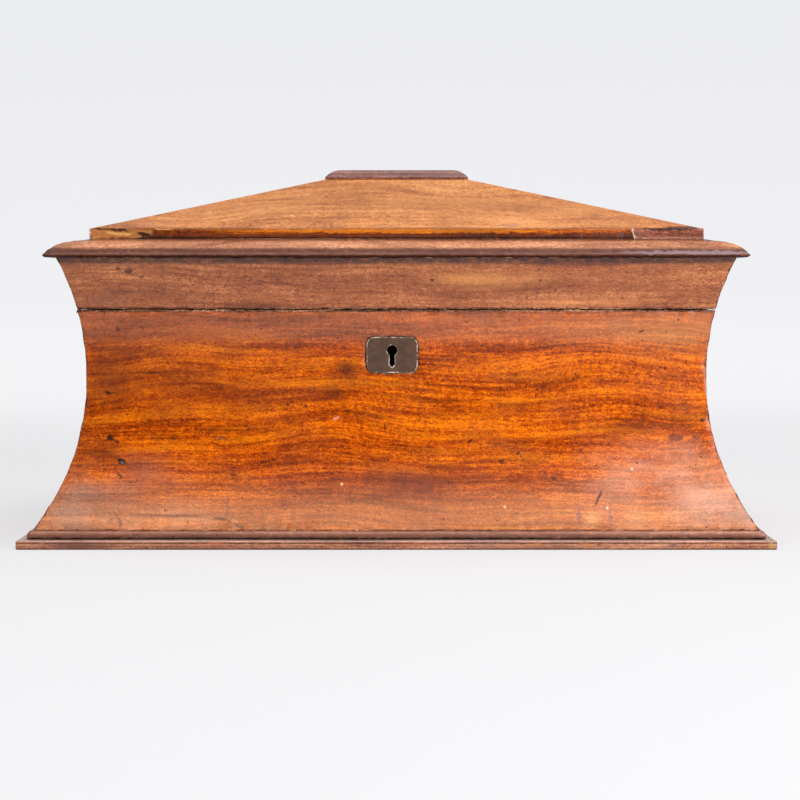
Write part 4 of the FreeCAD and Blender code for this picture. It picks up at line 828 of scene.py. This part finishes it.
# %% Base board, cap and escutcheon
CORNER_ROUND = 1.8 * MM
plinth = merged_copy("base_board", "base_board_worn", (plinth_wood, plinth_wood))
pick_arrises(plinth, lambda p: abs(p.x) > HALF_X - 0.02 * MM and abs(p.y) > HALF_Y - 0.02 * MM)
use_only(plinth)
bpy.ops.object.mode_set(mode="EDIT")
bpy.ops.mesh.select_mode(type="EDGE")
bpy.ops.mesh.bevel(offset=CORNER_ROUND, segments=4, affect="EDGES")
bpy.ops.object.mode_set(mode="OBJECT")
cut_across(plinth, 0, 2.5 * MM)
cut_across(plinth, 1, 2.5 * MM)
pick_arrises(plinth, lambda p: abs(p.x) > HALF_X - 0.02 * MM or abs(p.y) > HALF_Y - 0.02 * MM)
rub_edges(plinth, 0.9 * MM, 0.6 * MM, 4 * MM)
stands_for(plinth, "base_board", "case")

cap = merged_copy("lid_cap", "lid_cap_worn", (cap_wood, cap_wood))
cut_across(cap, 0, 2.0 * MM)
cut_across(cap, 1, 2.0 * MM)
pick_arrises(cap, lambda p: p.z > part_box("lid_cap")[0].z + 0.2 * MM)
rub_edges(cap, 0.4 * MM, 0.3 * MM, 3 * MM)
stands_for(cap, "lid_cap", "lid")

# The rim lies flat in the plate's face; its pale colour is a painted highlight of rubbed, rounded edges.
BRIGHT_RIM = 0.36 * MM
plate = merged_copy("escutcheon", "escutcheon_worn", (plate_brass, rim_brass_painted_highlight))
bpy.context.tool_settings.mesh_select_mode = (False, False, True)
for face in plate.data.polygons:
    face.select = face.normal.y < -0.9
use_only(plate)
bpy.ops.object.mode_set(mode="EDIT")
plate.active_material_index = 1
bpy.ops.object.material_slot_assign()
bpy.ops.mesh.inset(thickness=BRIGHT_RIM, depth=0)
plate.active_material_index = 0
bpy.ops.object.material_slot_assign()
bpy.ops.object.mode_set(mode="OBJECT")
bpy.ops.object.shade_smooth_by_angle(angle=SHARP)
stands_for(plate, "escutcheon", "case")
print("rim faces of the escutcheon:", sum(face.material_index for face in plate.data.polygons))

# %% [markdown]
# ## Floor, backdrop and light
#
# The photograph was made on a white sweep in a light tent: hardly any shadow, a bright ceiling, and a
# darker room behind the camera, which is why the upright middle of the front glows while the cove above
# and below it looks dusty.

# %% Floor and backdrop
FLOOR_FRONT = -3.0
LIT_FLOOR_FRONT = -0.65
FLOOR_BACK = 1.6
SWEEP_TOP = 2.4
SWEEP_HALF = 3.0
SWEEP_ROUND = 0.8

bpy.ops.object.select_all(action="DESELECT")
bpy.ops.mesh.primitive_plane_add(size=1, location=(0, (FLOOR_FRONT + FLOOR_BACK) / 2, 0))
sweep = bpy.context.object
sweep.name = "sweep"
sweep.scale = (2 * SWEEP_HALF, FLOOR_BACK - FLOOR_FRONT, 1)
bpy.ops.object.transform_apply(location=True, rotation=True, scale=True)
bpy.ops.object.mode_set(mode="EDIT")
bpy.ops.mesh.select_all(action="DESELECT")
bpy.ops.object.mode_set(mode="OBJECT")
for edge in sweep.data.edges:
    edge.select = all(sweep.data.vertices[i].co.y > FLOOR_BACK - MM for i in edge.vertices)
bpy.ops.object.mode_set(mode="EDIT")
bpy.ops.mesh.select_mode(type="EDGE")
bpy.ops.mesh.extrude_region_move(TRANSFORM_OT_translate={"value": (0, 0, SWEEP_TOP)})
bpy.ops.mesh.select_all(action="DESELECT")
bpy.ops.object.mode_set(mode="OBJECT")
for edge in sweep.data.edges:
    ends = [sweep.data.vertices[i].co for i in edge.vertices]
    edge.select = all(p.y > FLOOR_BACK - MM and p.z < MM for p in ends)
bpy.ops.object.mode_set(mode="EDIT")
bpy.ops.mesh.bevel(offset=SWEEP_ROUND, segments=16, affect="EDGES")
bpy.ops.object.mode_set(mode="OBJECT")
bpy.ops.object.shade_smooth()

paper, tree = new_material("white_paper")
place = add(tree, "TexCoord", out="Object")
depth = add(tree, "SeparateXYZ", (place,), out=1)
height = depth.node.outputs[2]
near = add(tree, "MapRange", (height, 0.0, 0.12, 0.0, 1.0), interpolation_type="SMOOTHSTEP")
far = add(tree, "MapRange", (height, 0.08, 0.55, 0.0, 1.0), interpolation_type="SMOOTHSTEP")
seen = add(tree, "Mix", {0: near, 6: linear("FCFCFE"), 7: linear("F5F5F8")}, out=2, data_type="RGBA")
seen = add(tree, "Mix", {0: far, 6: seen, 7: linear("F0F1F5")}, out=2, data_type="RGBA")
shown = add(tree, "Emission", {"Color": seen, "Strength": 1.0})
ahead = add(tree, "MapRange", (depth, LIT_FLOOR_FRONT - 0.02, LIT_FLOOR_FRONT, 1.0, 0.0))
paper_white = add(tree, "Mix", {0: ahead, 6: linear("D6D6D8"), 7: (0, 0, 0, 1)}, out=2, data_type="RGBA")
lit = add(tree, "BsdfDiffuse", {"Color": paper_white})
ray = add(tree, "LightPath", out="Is Camera Ray")
straight = add(tree, "Math", (ray, ray.node.outputs["Is Transmission Ray"]), operation="MAXIMUM")
share = add(tree, "MapRange", (depth, 0.2, 1.2, 0.55, 0.9), interpolation_type="SMOOTHSTEP")
share = add(tree, "Math", (share, ahead), operation="MAXIMUM")
share = add(tree, "Math", (share, straight), operation="MULTIPLY")
add(tree, "OutputMaterial", {"Surface": add(tree, "MixShader", (share, lit, shown))})
sweep.data.materials.append(paper)

# %% World and lamps
world = bpy.data.worlds.new("light_tent")
bpy.context.scene.world = world
world.use_nodes = True
tree = world.node_tree
tree.nodes.clear()
way = add(tree, "SeparateXYZ", (add(tree, "TexCoord", out="Generated"),), out=2)
above = add(tree, "MapRange", (way, 0.5, 0.8, 0.0, 1.0), interpolation_type="SMOOTHSTEP")
behind = add(tree, "MapRange", (way.node.outputs[1], -0.5, 0.3, 0.0, 1.0), interpolation_type="SMOOTHSTEP")
tent = add(tree, "Math", (above, behind), operation="MAXIMUM")
glow = add(tree, "Math", (tent, 0.85, 0.03), operation="MULTIPLY_ADD")
lit = add(tree, "Background", {"Color": (1, 1, 1, 1), "Strength": glow})
seen = add(tree, "Background", {"Color": linear("F0F1F5"), "Strength": 1.0})
ray = add(tree, "LightPath", out="Is Camera Ray")
add(tree, "OutputWorld", {"Surface": add(tree, "MixShader", (ray, lit, seen))})


def softbox(name, place, size, watts):
    """A square lamp that faces the caddy's middle."""
    data = bpy.data.lights.new(name, "AREA")
    data.shape = "SQUARE"
    data.size = size
    data.energy = watts
    lamp = bpy.data.objects.new(name, data)
    lamp.location = place
    lamp.rotation_euler = (lamp.location - caddy_middle).to_track_quat("Z", "Y").to_euler()
    bpy.context.scene.collection.objects.link(lamp)
    return lamp


caddy_middle = (cad_box[0] + cad_box[1]) / 2
softbox("overhead", (0.25, -0.45, 1.5), 1.4, 11.5)
softbox("right_side", (0.75, -0.80, 0.20), 0.5, 10.0)
softbox("left_side", (-1.4, -0.8, 0.5), 0.9, 4.0)

scene = bpy.context.scene
scene.view_settings.view_transform = "Standard"
